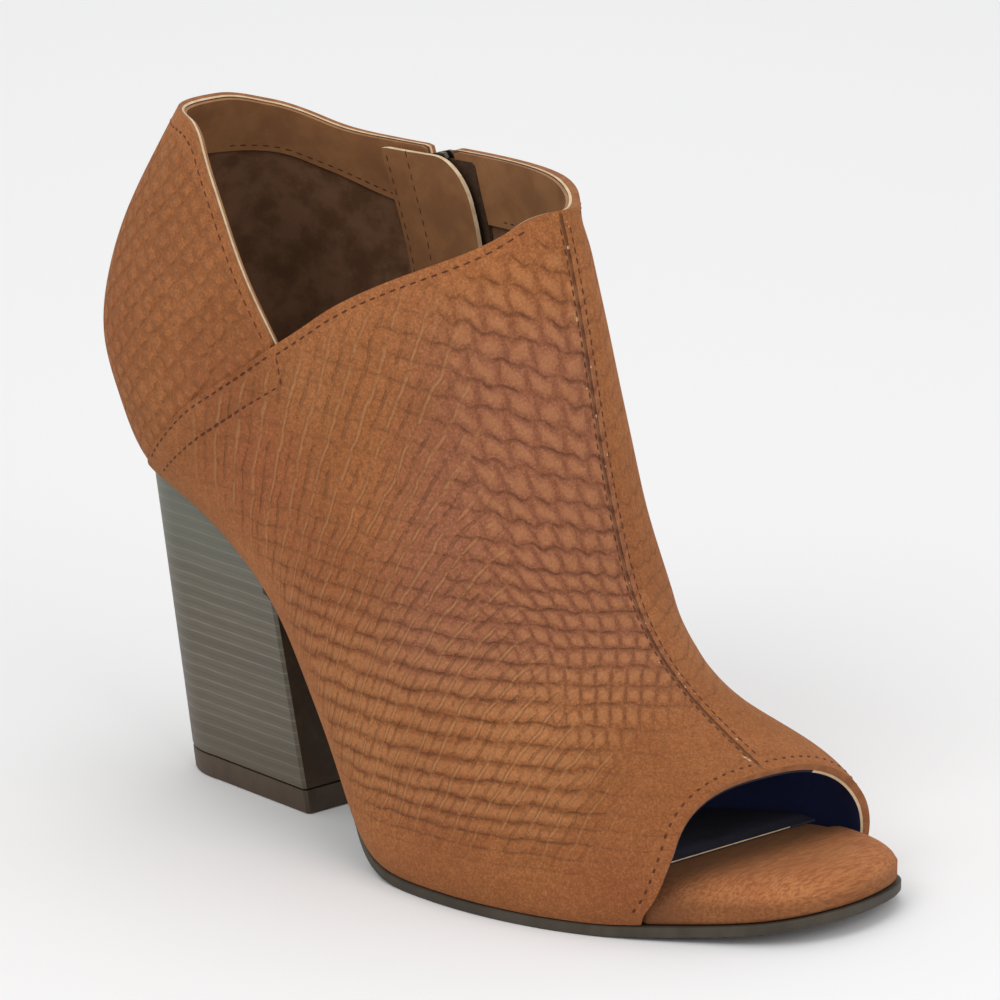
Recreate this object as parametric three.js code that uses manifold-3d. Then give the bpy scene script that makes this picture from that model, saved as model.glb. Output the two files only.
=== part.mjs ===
// A right-foot, open-toe ankle boot on a block heel, as an assembly of its maker's pieces.
// Millimetres. +X runs from heel to toe, +Y towards the inner side of the foot, +Z up.
// The origin is on the floor, under the middle of the boot's bounding box.
import * as THREE from "three";
import { mergeVertices } from "three/addons/utils/BufferGeometryUtils.js";
import Module from "manifold-3d";

const wasm = await Module();
wasm.setup();

// Driving sizes of the last and the boot.
const footLength = 221; // heel seat to toe tip, measured flat along the floor
const ballWidth = 84; // across the sole at the ball
const seatHeight = 84; // heel seat's back edge above the floor
const collarHeight = 175; // back of the collar above the floor
const toeSpring = 4; // rise of the sole at the toe tip
const wall = 1.8; // quarter leather with its lining
const lapStep = 0.8; // vamp leather lapped over the quarter
const clearance = 0.3; // between pieces that touch

// Sole, footbed and sock.
const outsoleThickness = 2.7;
const outsoleMargin = 0.5; // outsole edge beyond the upper's feather edge
const edgeRound = 0.7; // softened edges of the sole and the heel tip
const waistInset = 2.2; // the sole's waist drawn in under the upper
const footbedThickness = 3;
const toeBedThickness = 10.4; // padded and wrapped front of the footbed, under the toes
const toeBedInset = 0.5; // wrapped toe edge inside the upper's feather edge
const toeBedRound = 12; // how far in from the edge the padding rounds over
const sockThickness = 1.4;
const sockSetback = 11; // bare wrapped footbed between the toe opening and the sock

// Block heel, leaning back as it rises.
const heelTipThickness = 6.2;
const heelTipLength = 58;
const heelTipWidth = 43; // at the breast, on the floor
const heelTopWidth = 58; // at the breast, at the seat's height
const heelBackStart = 6; // back of the heel tip ahead of the seat's back edge
const heelBreastLean = 11; // from the floor to the seat's height
const heelBackLean = 9.6;
const heelShift = -1.5; // the heel's middle towards the outer side
const heelRound = 19; // depth of the rounded back

// Zip on the inner side.
const zipSlotWidth = 9;
const zipTapeWidth = 26;
const zipTapeThickness = 0.8;
const zipChainWidth = 4.8;
const zipChainThickness = 1.6;
const guardThickness = 1.2;
const guardSliderGap = -1.2; // from the slider's side to the guard's seam strip
const guardWidth = 30;
const sliderDrop = 6; // slider's upper end below the zip's top
const sliderLength = 9;
const sliderWidth = 7.4;
const sliderPlate = 1.1;
const bailReach = 5.2; // along the zip
const bailWidth = 1.8;
const bailThickness = 0.9;
const bailRise = 4.1; // above the slider's outer plate
const pullLength = 24;
const pullWidth = 6.4;
const pullThickness = 1.2;
const pullBar = 1.2; // diameter of the bar in the bail

// Fineness of the facets.
const lastRings = 38;
const lastHalfSteps = 19;
const outlineSteps = 44;
const roundSides = 24;

// Every height above the floor is worked out from these two spans.
const soleTop = outsoleThickness + clearance;
const seatRise = seatHeight - soleTop;
const shaftRise = collarHeight - seatHeight;
const reach = ballWidth; // beyond everything across the boot

// Rises smoothly from 0 to 1 between two values.
function ramp(value, from, to) {
  return THREE.MathUtils.smoothstep(value, from, to);
}

// Natural cubic spline through rows at whole numbers, as a function of the row number.
function splineThrough(values) {
  const n = values.length;
  const bend = new Array(n).fill(0);
  const upper = new Array(n).fill(0);
  for (let i = 1; i < n - 1; i++) {
    const pivot = 4 - upper[i - 1];
    upper[i] = 1 / pivot;
    bend[i] = (6 * (values[i + 1] - 2 * values[i] + values[i - 1]) - bend[i - 1]) / pivot;
  }
  for (let i = n - 2; i > 0; i--) bend[i] -= upper[i] * bend[i + 1];
  return (t) => {
    const i = Math.min(Math.max(Math.floor(t), 0), n - 2);
    const f = t - i;
    const g = 1 - f;
    return (
      g * values[i] + f * values[i + 1] +
      ((g ** 3 - g) * bend[i] + (f ** 3 - f) * bend[i + 1]) / 6
    );
  };
}

// Turns a table into one object of columns.
function columnsOf(names, rows) {
  return Object.fromEntries(names.map((name, i) => [name, rows.map((row) => row[i])]));
}

// Smooth curve through (x, value) pairs whose x need not be evenly spaced.
function curveThrough(xs, values) {
  const rowX = splineThrough(xs);
  const rowValue = splineThrough(values);
  return (x) => {
    let low = 0;
    let high = xs.length - 1;
    for (let k = 0; k < 40; k++) {
      const middle = (low + high) / 2;
      if (rowX(middle) < x) low = middle;
      else high = middle;
    }
    return rowValue((low + high) / 2);
  };
}

// Height of the feather line, where the upper meets the sole, along the boot.
// x is a share of the foot's length, rise a share of the seat's rise,
// and spring a share of the toe spring.
const feather = columnsOf(["x", "rise", "spring"], [
  [-0.1, 1.04, 0],
  [0.0, 1.02, 0],
  [0.065, 0.98, 0],
  [0.125, 0.922, 0],
  [0.18, 0.842, 0],
  [0.235, 0.735, 0],
  [0.29, 0.59, 0],
  [0.335, 0.465, 0],
  [0.38, 0.33, 0],
  [0.425, 0.185, 0],
  [0.465, 0.08, 0],
  [0.51, 0.02, 0],
  [0.57, 0, 0],
  [0.67, 0, 0],
  [0.77, 0, 0],
  [0.85, 0, 0.12],
  [0.93, 0, 0.46],
  [1.0, 0, 1.0],
  [1.06, 0, 1.6],
]);
const riseAt = curveThrough(feather.x, feather.rise);
const springAt = curveThrough(feather.x, feather.spring);
const flatFrom = 0.565; // the forefoot stands flat on the floor between these shares
const flatTo = 0.77;
function featherZ(x) {
  const share = x / footLength;
  const rise = share < flatFrom ? Math.max(riseAt(share), 0) : 0;
  const spring = share > flatTo ? Math.max(springAt(share), 0) : 0;
  return soleTop + seatRise * rise + toeSpring * spring;
}

// Sections of the last, from the toe tip up to above the collar. Each lies in a plane across
// the boot, from a keel point under the sole or behind the heel to a ridge point on the instep:
// keelX, ridgeX  share of the foot's length      keelUp  above the feather line, share of the shaft's rise
// ridgeZ  share of the collar's height           half    half width, share of the ball's width
// shift   of the middle at the keel, share of the ball's width (minus is the outer side)
// widest  how far up from keel to ridge          low, high  fullness of the lower and upper stretch
const last = columnsOf(
  ["keelX", "keelUp", "ridgeX", "ridgeZ", "half", "shift", "widest", "low", "high"],
  [
    [1.01, -0.066, 1.01, 0.08, 0.036, 0.12, 0.45, 2.6, 2.2],
    [0.999, -0.09, 0.999, 0.108, 0.17, 0.12, 0.42, 2.8, 2.2],
    [0.97, -0.105, 0.968, 0.153, 0.3, 0.125, 0.4, 3.0, 2.15],
    [0.92, -0.11, 0.916, 0.2, 0.392, 0.1, 0.37, 3.1, 2.65],
    [0.858, -0.112, 0.856, 0.24, 0.464, 0.046, 0.35, 3.1, 2.4],
    [0.79, -0.112, 0.792, 0.287, 0.5, -0.025, 0.34, 3.1, 1.8],
    [0.715, -0.112, 0.74, 0.344, 0.512, -0.084, 0.33, 3.1, 1.58],
    [0.634, -0.112, 0.705, 0.412, 0.515, -0.116, 0.32, 3.1, 1.57],
    [0.552, -0.114, 0.682, 0.49, 0.504, -0.132, 0.31, 3.0, 1.72],
    [0.474, -0.118, 0.664, 0.567, 0.485, -0.13, 0.31, 2.9, 1.8],
    [0.4, -0.124, 0.65, 0.642, 0.46, -0.107, 0.33, 2.8, 1.86],
    [0.327, -0.13, 0.637, 0.716, 0.436, -0.083, 0.35, 2.75, 1.9],
    [0.254, -0.135, 0.624, 0.786, 0.417, -0.06, 0.37, 2.7, 1.94],
    [0.177, -0.135, 0.612, 0.844, 0.413, -0.048, 0.37, 2.7, 1.97],
    [0.095, -0.126, 0.602, 0.888, 0.418, -0.04, 0.36, 2.7, 2.0],
    [0.01, -0.07, 0.595, 0.914, 0.425, -0.036, 0.34, 2.8, 2.0],
    [-0.036, 0.09, 0.591, 0.931, 0.433, -0.036, 0.32, 2.8, 2.05],
    [-0.063, 0.27, 0.587, 0.946, 0.436, -0.036, 0.31, 2.8, 2.1],
    [-0.061, 0.46, 0.582, 0.963, 0.424, -0.035, 0.32, 2.75, 2.1],
    [-0.039, 0.66, 0.576, 0.986, 0.402, -0.032, 0.35, 2.65, 2.15],
    [0.0, 0.86, 0.567, 1.017, 0.384, -0.028, 0.4, 2.5, 2.2],
    [0.038, 1.03, 0.556, 1.054, 0.376, -0.024, 0.45, 2.4, 2.2],
  ],
);
const lastAt = Object.fromEntries(
  Object.entries(last).map(([name, values]) => [name, splineThrough(values)]),
);
const lastRows = last.keelX.length - 1;

// One section of the last at row number s, with its plane, sizes and outline.
function sectionAt(s) {
  const keelX = lastAt.keelX(s) * footLength;
  const keelZ = featherZ(keelX) + lastAt.keelUp(s) * shaftRise;
  const ridgeX = lastAt.ridgeX(s) * footLength;
  const ridgeZ = lastAt.ridgeZ(s) * collarHeight;
  const height = Math.hypot(ridgeX - keelX, ridgeZ - keelZ);
  const half = lastAt.half(s) * ballWidth;
  const shift = lastAt.shift(s) * ballWidth;
  const widest = lastAt.widest(s) * height;
  const low = 2 / lastAt.low(s);
  const high = 2 / lastAt.high(s);
  // Point of the outline at turn from -90 degrees, the keel, to 90 degrees, the ridge, on one side.
  const pointAt = (turn, side) => {
    const sine = Math.sin(turn);
    const cosine = Math.max(Math.cos(turn), 0);
    const up =
      sine < 0 ? widest * (1 - (-sine) ** low) : widest + (height - widest) * sine ** high;
    const share = up / height;
    const out = half * cosine ** (sine < 0 ? low : high);
    return new THREE.Vector3(
      keelX + (ridgeX - keelX) * share,
      shift * (1 - share) + side * out,
      keelZ + (ridgeZ - keelZ) * share,
    );
  };
  return { keelX, keelZ, ridgeX, ridgeZ, height, pointAt };
}

// Points at even shares of a measure that adds up along a line of points.
function evenly(points, measures, steps) {
  const along = [];
  measures.forEach((measure, i) => along.push(measure + (along[i - 1] ?? 0)));
  const total = along.at(-1);
  const out = [];
  for (let k = 0, i = 1; k <= steps; k++) {
    const target = (total * k) / steps;
    while (i < points.length - 1 && along[i] < target) i++;
    const share = (target - along[i - 1]) / (along[i] - along[i - 1]);
    out.push(points[i - 1].clone().lerp(points[i], share));
  }
  return out;
}

// Half a section, from ridge to keel, at even steps along its outline, closer where it bends.
const turnSteps = 120;
const cornerPull = 14; // length that one radian of bend counts for when the steps are shared out
function halfSection(section, side, steps) {
  const dense = Array.from({ length: turnSteps + 1 }, (_, i) =>
    section.pointAt(Math.PI * (0.5 - i / turnSteps), side),
  );
  const measures = dense.map((p, i) => {
    if (i === 0) return 0;
    const step = p.clone().sub(dense[i - 1]);
    const bend = i < turnSteps ? step.angleTo(dense[i + 1].clone().sub(p)) : 0;
    return step.length() + bend * cornerPull;
  });
  return evenly(dense, measures, steps);
}

// Ring of a section: ridge, outer side, keel, inner side.
function ringAt(s, halfSteps) {
  const section = sectionAt(s);
  const outer = halfSection(section, -1, halfSteps);
  const inner = halfSection(section, 1, halfSteps);
  return [...outer, ...inner.slice(1, -1).reverse()];
}

// A closed geometry from rings of equal length, capped at both ends by quads across the ring.
function geometryFromRings(rings) {
  const count = rings[0].length;
  const positions = rings.flatMap((ring) => ring.flatMap((p) => [p.x, p.y, p.z]));
  const index = [];
  for (let r = 0; r + 1 < rings.length; r++) {
    for (let i = 0; i < count; i++) {
      const a = r * count + i;
      const b = r * count + ((i + 1) % count);
      index.push(a, b, a + count, b, b + count, a + count);
    }
  }
  const cap = (start, flip) => {
    for (let i = 0; i < count / 2; i++) {
      const a = start + i;
      const b = start + i + 1;
      const c = start + ((count - i - 1) % count);
      const d = start + ((count - i) % count);
      for (const [p, q, r] of [[a, c, b], [a, d, c]]) {
        if (p === q || q === r || r === p) continue;
        index.push(...(flip ? [p, r, q] : [p, q, r]));
      }
    }
  };
  cap(0, false);
  cap((rings.length - 1) * count, true);
  const geometry = new THREE.BufferGeometry();
  geometry.setAttribute("position", new THREE.Float32BufferAttribute(positions, 3));
  geometry.setIndex(index);
  return geometry;
}

// The last's skin moved out by a distance along its own normal, as a closed solid.
function skinRings(distance) {
  const rings = [];
  for (let r = 0; r <= lastRings; r++) rings.push(ringAt((lastRows * r) / lastRings, lastHalfSteps));
  if (distance === 0) return rings;
  const count = rings[0].length;
  return rings.map((ring, r) =>
    ring.map((point, i) => {
      const along = new THREE.Vector3().subVectors(
        rings[Math.min(r + 1, lastRings)][i],
        rings[Math.max(r - 1, 0)][i],
      );
      const around = new THREE.Vector3().subVectors(
        ring[(i + 1) % count],
        ring[(i + count - 1) % count],
      );
      const normal = along.cross(around).normalize();
      return point.clone().addScaledVector(normal, distance);
    }),
  );
}

// Geometry to solid, faces turned outwards, and back.
const weld = 1e-4;
function solidOf(geometry) {
  const bare = new THREE.BufferGeometry();
  bare.setAttribute("position", geometry.getAttribute("position"));
  if (geometry.index) bare.setIndex(geometry.index);
  const merged = mergeVertices(bare, weld);
  const index = new Uint32Array(merged.index.array);
  const vertProperties = new Float32Array(merged.attributes.position.array);
  const solid = new wasm.Manifold(new wasm.Mesh({ numProp: 3, vertProperties, triVerts: index }));
  if (solid.volume() > 0) return solid;
  const flipped = index.map((_, i) => index[i - (i % 3) + 2 - (i % 3)]);
  return new wasm.Manifold(new wasm.Mesh({ numProp: 3, vertProperties, triVerts: flipped }));
}
function geometryOf(solid) {
  const made = solid.getMesh();
  const geometry = new THREE.BufferGeometry();
  geometry.setAttribute("position", new THREE.BufferAttribute(new Float32Array(made.vertProperties), 3));
  geometry.setIndex(new THREE.BufferAttribute(new Uint32Array(made.triVerts), 1));
  return geometry;
}

const skins = new Map();
function skin(distance) {
  if (!skins.has(distance)) skins.set(distance, solidOf(geometryFromRings(skinRings(distance))));
  return skins.get(distance);
}

// A prism across the boot from a side view outline of [x, z] points, between two y.
// A matrix, if given, then moves it.
function sidePrism(points, yFrom, yTo, matrix) {
  const shape = new THREE.Shape(points.map(([x, z]) => new THREE.Vector2(x, z)));
  const geometry = new THREE.ExtrudeGeometry(shape, { depth: yTo - yFrom, bevelEnabled: false });
  geometry.rotateX(Math.PI / 2);
  geometry.translate(0, yTo, 0);
  if (matrix) geometry.applyMatrix4(matrix);
  return solidOf(geometry);
}

// Side view of the feather line raised by a height, which may change with x, between two shares of x.
const featherSteps = 64;
function featherLine(heightAt, from, to) {
  return Array.from({ length: featherSteps + 1 }, (_, i) => {
    const x = THREE.MathUtils.lerp(from, to, i / featherSteps) * footLength;
    return [x, featherZ(x) + heightAt(x)];
  });
}
const backShare = -0.12;
const frontShare = 1.2;
const backEnd = backShare * footLength;
const frontEnd = frontShare * footLength;
const topEnd = collarHeight + shaftRise;
function layerAlongFeather(lowAt, highAt) {
  const low = featherLine(lowAt, backShare, frontShare);
  const high = featherLine(highAt, backShare, frontShare);
  return sidePrism([...low, ...high.reverse()], -reach, reach);
}
const belowFeather = sidePrism(
  [...featherLine(() => 0, backShare, frontShare), [frontEnd, -reach], [backEnd, -reach]],
  -reach,
  reach,
);

// Collar line in side view, on the outer and the inner side of the foot:
// [share of the foot's length, share of the collar's height].
const collarOuter = [
  [-0.15, 1.011], [0.0, 1.011], [0.022, 1.0105], [0.08, 1.008], [0.125, 1.002], [0.146, 0.988],
  [0.162, 0.965], [0.208, 0.882], [0.25, 0.802], [0.299, 0.708], [0.344, 0.745], [0.389, 0.783],
  [0.462, 0.83], [0.538, 0.875], [0.573, 0.908], [0.592, 0.927], [0.65, 0.965],
];
const collarInner = [
  [-0.15, 1.011], [0.0, 1.011], [0.022, 1.009], [0.048, 0.991], [0.09, 0.964], [0.145, 0.947],
  [0.27, 0.943], [0.45, 0.946], [0.54, 0.941], [0.592, 0.927], [0.65, 0.92],
];
function sizedLine(line, drop = 0) {
  return line.map(([x, z]) => [x * footLength, z * collarHeight - drop]);
}
function aboveLine(line, drop, yFrom, yTo) {
  const points = sizedLine(line, drop);
  return sidePrism([...points, [points.at(-1)[0], topEnd], [points[0][0], topEnd]], yFrom, yTo);
}
const aboveCollar = aboveLine(collarOuter, 0, -reach, 0).add(aboveLine(collarInner, 0, 0, reach));

// Toe opening in side view, in the same shares, turned a little about the upright through the ridge.
const openingTurn = 0.03;
const openingLine = [
  [0.866, -0.05], [0.872, 0.02], [0.883, 0.05], [0.894, 0.08], [0.902, 0.115], [0.905, 0.16], [0.905, 0.3],
];
function aheadOfOpening(setback) {
  const edge = sizedLine(openingLine).map(([x, z]) => [x - setback, z]);
  const ridgeX = edge.at(-1)[0];
  const outline = [...edge, [frontEnd, edge.at(-1)[1]], [frontEnd, edge[0][1]]];
  const toOrigin = new THREE.Matrix4().makeTranslation(-ridgeX, 0, 0);
  const turn = new THREE.Matrix4().makeRotationZ(-openingTurn);
  const back = new THREE.Matrix4().makeTranslation(ridgeX, 0, 0);
  return sidePrism(outline, -reach, reach, back.multiply(turn).multiply(toOrigin));
}

// The zip's line in side view, in the same shares, and its own measures: along it and across it.
const zipTop = [0.264, 0.97];
const zipBottom = [0.385, 0.37];
const [zipFrom, zipTo] = sizedLine([zipTop, zipBottom]).map(([x, z]) => new THREE.Vector2(x, z));
const zipDown = zipTo.clone().sub(zipFrom).normalize();
const zipAcross = new THREE.Vector2(-zipDown.y, zipDown.x); // points towards the toe
const zipLength = zipTo.distanceTo(zipFrom);
function zipPoint(along, across) {
  const point = zipFrom.clone().addScaledVector(zipDown, along).addScaledVector(zipAcross, across);
  return [point.x, point.y];
}
function zipStrip(fromAlong, toAlong, fromAcross, toAcross) {
  const corners = [
    zipPoint(fromAlong, fromAcross), zipPoint(fromAlong, toAcross),
    zipPoint(toAlong, toAcross), zipPoint(toAlong, fromAcross),
  ];
  return sidePrism(corners, 0, reach);
}

// The vamp laps over the quarter: on the outer side along a line that carries on from
// the collar's front edge, on the inner side along the middle of the zip.
const lapLine = [
  [0.299, 0.708], [0.208, 0.634], [0.158, 0.594], [0.104, 0.537], [0.03, 0.45], [-0.12, 0.24],
];
const vampOuter = sidePrism(
  [
    ...sizedLine(lapLine), [backEnd, -reach], [frontEnd, -reach],
    [frontEnd, topEnd], [lapLine[0][0] * footLength, topEnd],
  ],
  -reach,
  0,
);
const vampInner = sidePrism(
  [zipPoint(-reach, 0), zipPoint(2 * zipLength, 0), [frontEnd, -reach], [frontEnd, topEnd]],
  0,
  reach,
);

// Upper: the quarter's shell and the thicker vamp, hollow.
// It is open at the collar, the toe, the zip and underneath.
const innerSkin = -(lapStep + wall);
const slotHalf = zipSlotWidth / 2;
const slotEnd = Array.from({ length: roundSides }, (_, i) => {
  const turn = (2 * Math.PI * i) / roundSides;
  return zipPoint(zipLength + slotHalf * Math.cos(turn), slotHalf * Math.sin(turn));
});
const zipSlot = zipStrip(-reach, zipLength, -slotHalf, slotHalf).add(sidePrism(slotEnd, 0, reach));
const upper = skin(-lapStep)
  .add(skin(0).intersect(vampOuter.add(vampInner)))
  .subtract(skin(innerSkin))
  .subtract(belowFeather)
  .subtract(aboveCollar)
  .subtract(aheadOfOpening(0))
  .subtract(zipSlot);

// Finds where a rising function passes zero between two values.
const halvings = 30;
function crossing(rising, from, to) {
  let low = from;
  let high = to;
  for (let k = 0; k < halvings; k++) {
    const middle = (low + high) / 2;
    if (rising(middle) < 0) low = middle;
    else high = middle;
  }
  return low;
}

// The upper's plan outline at the feather line: where each section meets it, on one side.
const seatRow = crossing((s) => lastAt.keelUp(s), lastRows / 2, lastRows);
function featherCrossing(s, side) {
  const section = sectionAt(s);
  const above = (turn) => {
    const p = section.pointAt(turn, side);
    return p.z - featherZ(p.x);
  };
  const keelTurn = -Math.PI / 2;
  const p = section.pointAt(above(keelTurn) > 0 ? keelTurn : crossing(above, keelTurn, 0), side);
  return new THREE.Vector2(p.x, p.y);
}

// Half the outline from toe to seat, at even steps. Samples crowd where it closes at the seat.
const outlineSamples = 90;
function outlineHalf(side) {
  const dense = Array.from({ length: outlineSamples + 1 }, (_, i) =>
    featherCrossing(seatRow * Math.sin((Math.PI / 2) * (i / outlineSamples)), side),
  );
  return evenly(dense, dense.map((p, i) => (i > 0 ? p.distanceTo(dense[i - 1]) : 0)), outlineSteps);
}
const soleOutline = [...outlineHalf(-1), ...outlineHalf(1).slice(0, -1).reverse()];

// The outline moved in by a distance along its own normal, where the distance changes with x.
function insetOutline(distanceAt) {
  const count = soleOutline.length;
  return soleOutline.map((p, i) => {
    const before = soleOutline[(i + count - 2) % count];
    const along = soleOutline[(i + 2) % count].clone().sub(before).normalize();
    const distance = distanceAt(p.x) * outlineSense;
    return new THREE.Vector2(p.x + along.y * distance, p.y - along.x * distance);
  });
}
const outlineSense = THREE.ShapeUtils.isClockWise(soleOutline) ? 1 : -1;

// Rings on the sole's outline, from bottom to top: rows of [inset, height above the feather line].
// The waist is drawn in further, between the heel's breast and the ball.
const waistFrom = 0.36;
const waistTo = 0.55;
function soleRings(rows, waist, heightAt = () => 1) {
  return rows.map(([inset, height]) =>
    insetOutline((x) => inset + waist * (1 - ramp(x / footLength, waistFrom, waistTo))).map(
      (p) => new THREE.Vector3(p.x, p.y, featherZ(p.x) + height * heightAt(p.x)),
    ),
  );
}

// Stacked rings of a pad, closed below and above by strips across from one side to the other.
function padSolid(rings) {
  const count = rings[0].length;
  const positions = rings.flatMap((ring) => ring.flatMap((p) => [p.x, p.y, p.z]));
  const index = [];
  for (let r = 0; r + 1 < rings.length; r++) {
    for (let i = 0; i < count; i++) {
      const a = r * count + i;
      const b = r * count + ((i + 1) % count);
      index.push(a, b, b + count, a, b + count, a + count);
    }
  }
  const cap = (start, flip) => {
    for (let i = 0; 2 * i + 2 < count; i++) {
      const [a, b, c, d] = [i, i + 1, count - 2 - i, count - 1 - i].map((k) => start + k);
      index.push(...(flip ? [a, d, b] : [a, b, d]));
      if (b !== c) index.push(...(flip ? [b, d, c] : [b, c, d]));
    }
  };
  cap(0, true);
  cap((rings.length - 1) * count, false);
  const geometry = new THREE.BufferGeometry();
  geometry.setAttribute("position", new THREE.Float32BufferAttribute(positions, 3));
  geometry.setIndex(index);
  return solidOf(geometry);
}

// Block heel: rings of a D outline, back rounded and breast flat, leaning back as they rise.
const heelTipFront = heelBackStart + heelTipLength;
const heelBackTaper = 0.83; // the width where the back's rounding starts, as a share of the breast's
const heelBackFullness = 0.9; // below 1 is fuller than a half ellipse
const heelBackSteps = 14;
function breastX(z) {
  return heelTipFront - (heelBreastLean * z) / seatHeight;
}
function heelRing(z, inset) {
  const share = z / seatHeight;
  const front = breastX(z) - inset;
  const back = heelBackStart - heelBackLean * share + inset;
  const half = THREE.MathUtils.lerp(heelTipWidth, heelTopWidth, share) / 2 - inset;
  const backHalf = half * heelBackTaper;
  const arc = Array.from({ length: heelBackSteps + 1 }, (_, i) => {
    const turn = Math.PI * (i / heelBackSteps);
    const depth = Math.abs(Math.sin(turn)) ** heelBackFullness;
    const across = Math.sign(Math.cos(turn)) * Math.abs(Math.cos(turn)) ** heelBackFullness;
    return new THREE.Vector3(back + heelRound * (1 - depth), heelShift - backHalf * across, z);
  });
  const corner = (side) => new THREE.Vector3(front, heelShift + side * half, z);
  return [corner(-1), ...arc, corner(1)];
}
const heelTip = padSolid([
  heelRing(0, edgeRound),
  heelRing(edgeRound, 0),
  heelRing(heelTipThickness - edgeRound, 0),
  heelRing(heelTipThickness, edgeRound),
]);
const heelBottom = heelTipThickness + clearance;
const heelTopEnd = seatHeight + heelTipThickness; // above the cut at the seat
const heelSteps = 8;
const heelRings = Array.from({ length: heelSteps + 1 }, (_, i) =>
  heelRing(THREE.MathUtils.lerp(heelBottom + edgeRound, heelTopEnd, i / heelSteps), 0),
);
const aboveSeat = sidePrism(
  [...featherLine(() => -clearance, backShare, waistTo), [waistTo * footLength, topEnd], [backEnd, topEnd]],
  -reach,
  reach,
);
const heelBlock = padSolid([heelRing(heelBottom, edgeRound), ...heelRings]).subtract(aboveSeat);

// Outsole: a thin layer under the feather line, from the heel's breast to the toe.
const behindBreast = sidePrism(
  [
    [-reach, -reach], [breastX(-reach) + clearance, -reach],
    [breastX(topEnd) + clearance, topEnd], [-reach, topEnd],
  ],
  -reach,
  reach,
);
const outsole = padSolid(
  soleRings(
    [
      [edgeRound - outsoleMargin, -outsoleThickness - clearance],
      [-outsoleMargin, edgeRound - outsoleThickness - clearance],
      [-outsoleMargin, -edgeRound - clearance],
      [edgeRound - outsoleMargin, -clearance],
    ],
    waistInset,
  ),
).subtract(behindBreast);

// Footbed: thin at the heel and rising to the padded toe, inside the upper and out through the toe opening.
const bedRiseFrom = 0.6;
const bedRiseTo = 0.84;
const bedGap = 2 * clearance; // between the upper's toe edge and the wrapped bed
function bedHeight(x) {
  const share = ramp(x / footLength, bedRiseFrom, bedRiseTo);
  return THREE.MathUtils.lerp(footbedThickness, toeBedThickness, share);
}
// Rows of [share of the rounding, share of the height].
const bedRounding = [[0, 0.42], [0.06, 0.62], [0.24, 0.82], [0.55, 0.95], [1, 1]];
const footbedEdge = 0.08; // share of the height at which the lower edge is at its widest
const insideForm = skin(innerSkin - clearance);
const footbed = padSolid(
  soleRings(
    [
      [toeBedInset + edgeRound, 0],
      [toeBedInset, footbedEdge],
      ...bedRounding.map(([round, height]) => [toeBedInset + toeBedRound * round, height]),
    ],
    0,
    bedHeight,
  ),
).intersect(insideForm.add(aheadOfOpening(-bedGap)));

// Sock on the footbed, ending behind the opening.
const insoleSock = layerAlongFeather(
  (x) => bedHeight(x) + clearance,
  (x) => bedHeight(x) + clearance + sockThickness,
)
  .intersect(insideForm)
  .subtract(aheadOfOpening(sockSetback));

// Zip: two tapes behind the slot and the closed chain between them, below the slider.
const zipUnder = innerSkin - clearance;
function behindWall(near, far) {
  return skin(near).subtract(skin(far));
}
const tapeDrop = 2.2; // the tapes and the guard end below the collar
const guardDrop = 1.1;
const tapeEnd = zipLength + zipSlotWidth;
const tapeFar = zipUnder - zipTapeThickness;
const chainHalf = zipChainWidth / 2;
const tapeInner = chainHalf + clearance;
const tapeOuter = zipTapeWidth / 2;
const tapes = behindWall(zipUnder, tapeFar).subtract(aboveLine(collarInner, tapeDrop, 0, reach));
const zipTapeFront = tapes.intersect(zipStrip(-reach, tapeEnd, tapeInner, tapeOuter));
const zipTapeRear = tapes.intersect(zipStrip(-reach, tapeEnd, -tapeOuter, -tapeInner));
const chainProud = (zipChainThickness - zipTapeThickness) / 2;
const chainStart = sliderDrop + sliderLength + clearance;
const zipChain = behindWall(zipUnder + chainProud, tapeFar - chainProud).intersect(
  zipStrip(chainStart, zipLength, -chainHalf, chainHalf),
);

// The guard is sewn on behind the rear tape and stands clear of the slider's inner plate in front of that.
const guardShareRear = 0.6; // of its width behind the zip
const guardRear = -guardWidth * guardShareRear;
const guardSeam = guardSliderGap - sliderWidth / 2;
const guardNear = tapeFar - clearance;
const guardStand = guardNear - sliderPlate - 2 * clearance;
const guardFar = guardStand - guardThickness;
const zipGuard = behindWall(guardNear, guardFar)
  .intersect(zipStrip(-reach, tapeEnd, guardRear, guardSeam))
  .add(
    behindWall(guardStand, guardFar).intersect(
      zipStrip(-reach, tapeEnd, guardRear, guardRear + guardWidth),
    ),
  )
  .subtract(aboveLine(collarInner, guardDrop, 0, reach));

// Frame on the skin at the slider: X across the zip, Y down it, Z out of the wall.
function zipFrame(along, depth) {
  const [x, z] = zipPoint(along, 0);
  const target = new THREE.Mesh(geometryOf(skin(depth)), new THREE.MeshStandardMaterial());
  const ray = new THREE.Raycaster(new THREE.Vector3(x, reach, z), new THREE.Vector3(0, -1, 0));
  const hit = ray.intersectObject(target)[0];
  const out = hit.face.normal.clone();
  const down = new THREE.Vector3(zipDown.x, 0, zipDown.y);
  down.addScaledVector(out, -down.dot(out)).normalize();
  const across = new THREE.Vector3().crossVectors(down, out).normalize();
  return new THREE.Matrix4().makeBasis(across, down, out).setPosition(hit.point);
}
const sliderFrame = zipFrame(sliderDrop + sliderLength / 2, zipUnder);

// A plate in that frame: outline of [across, down], from one distance out of the wall to another.
function framePlate(outline, from, to) {
  const shape = new THREE.Shape(outline.map(([across, down]) => new THREE.Vector2(across, down)));
  const geometry = new THREE.ExtrudeGeometry(shape, { depth: to - from, bevelEnabled: false });
  geometry.translate(0, 0, from);
  return solidOf(geometry);
}

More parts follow.
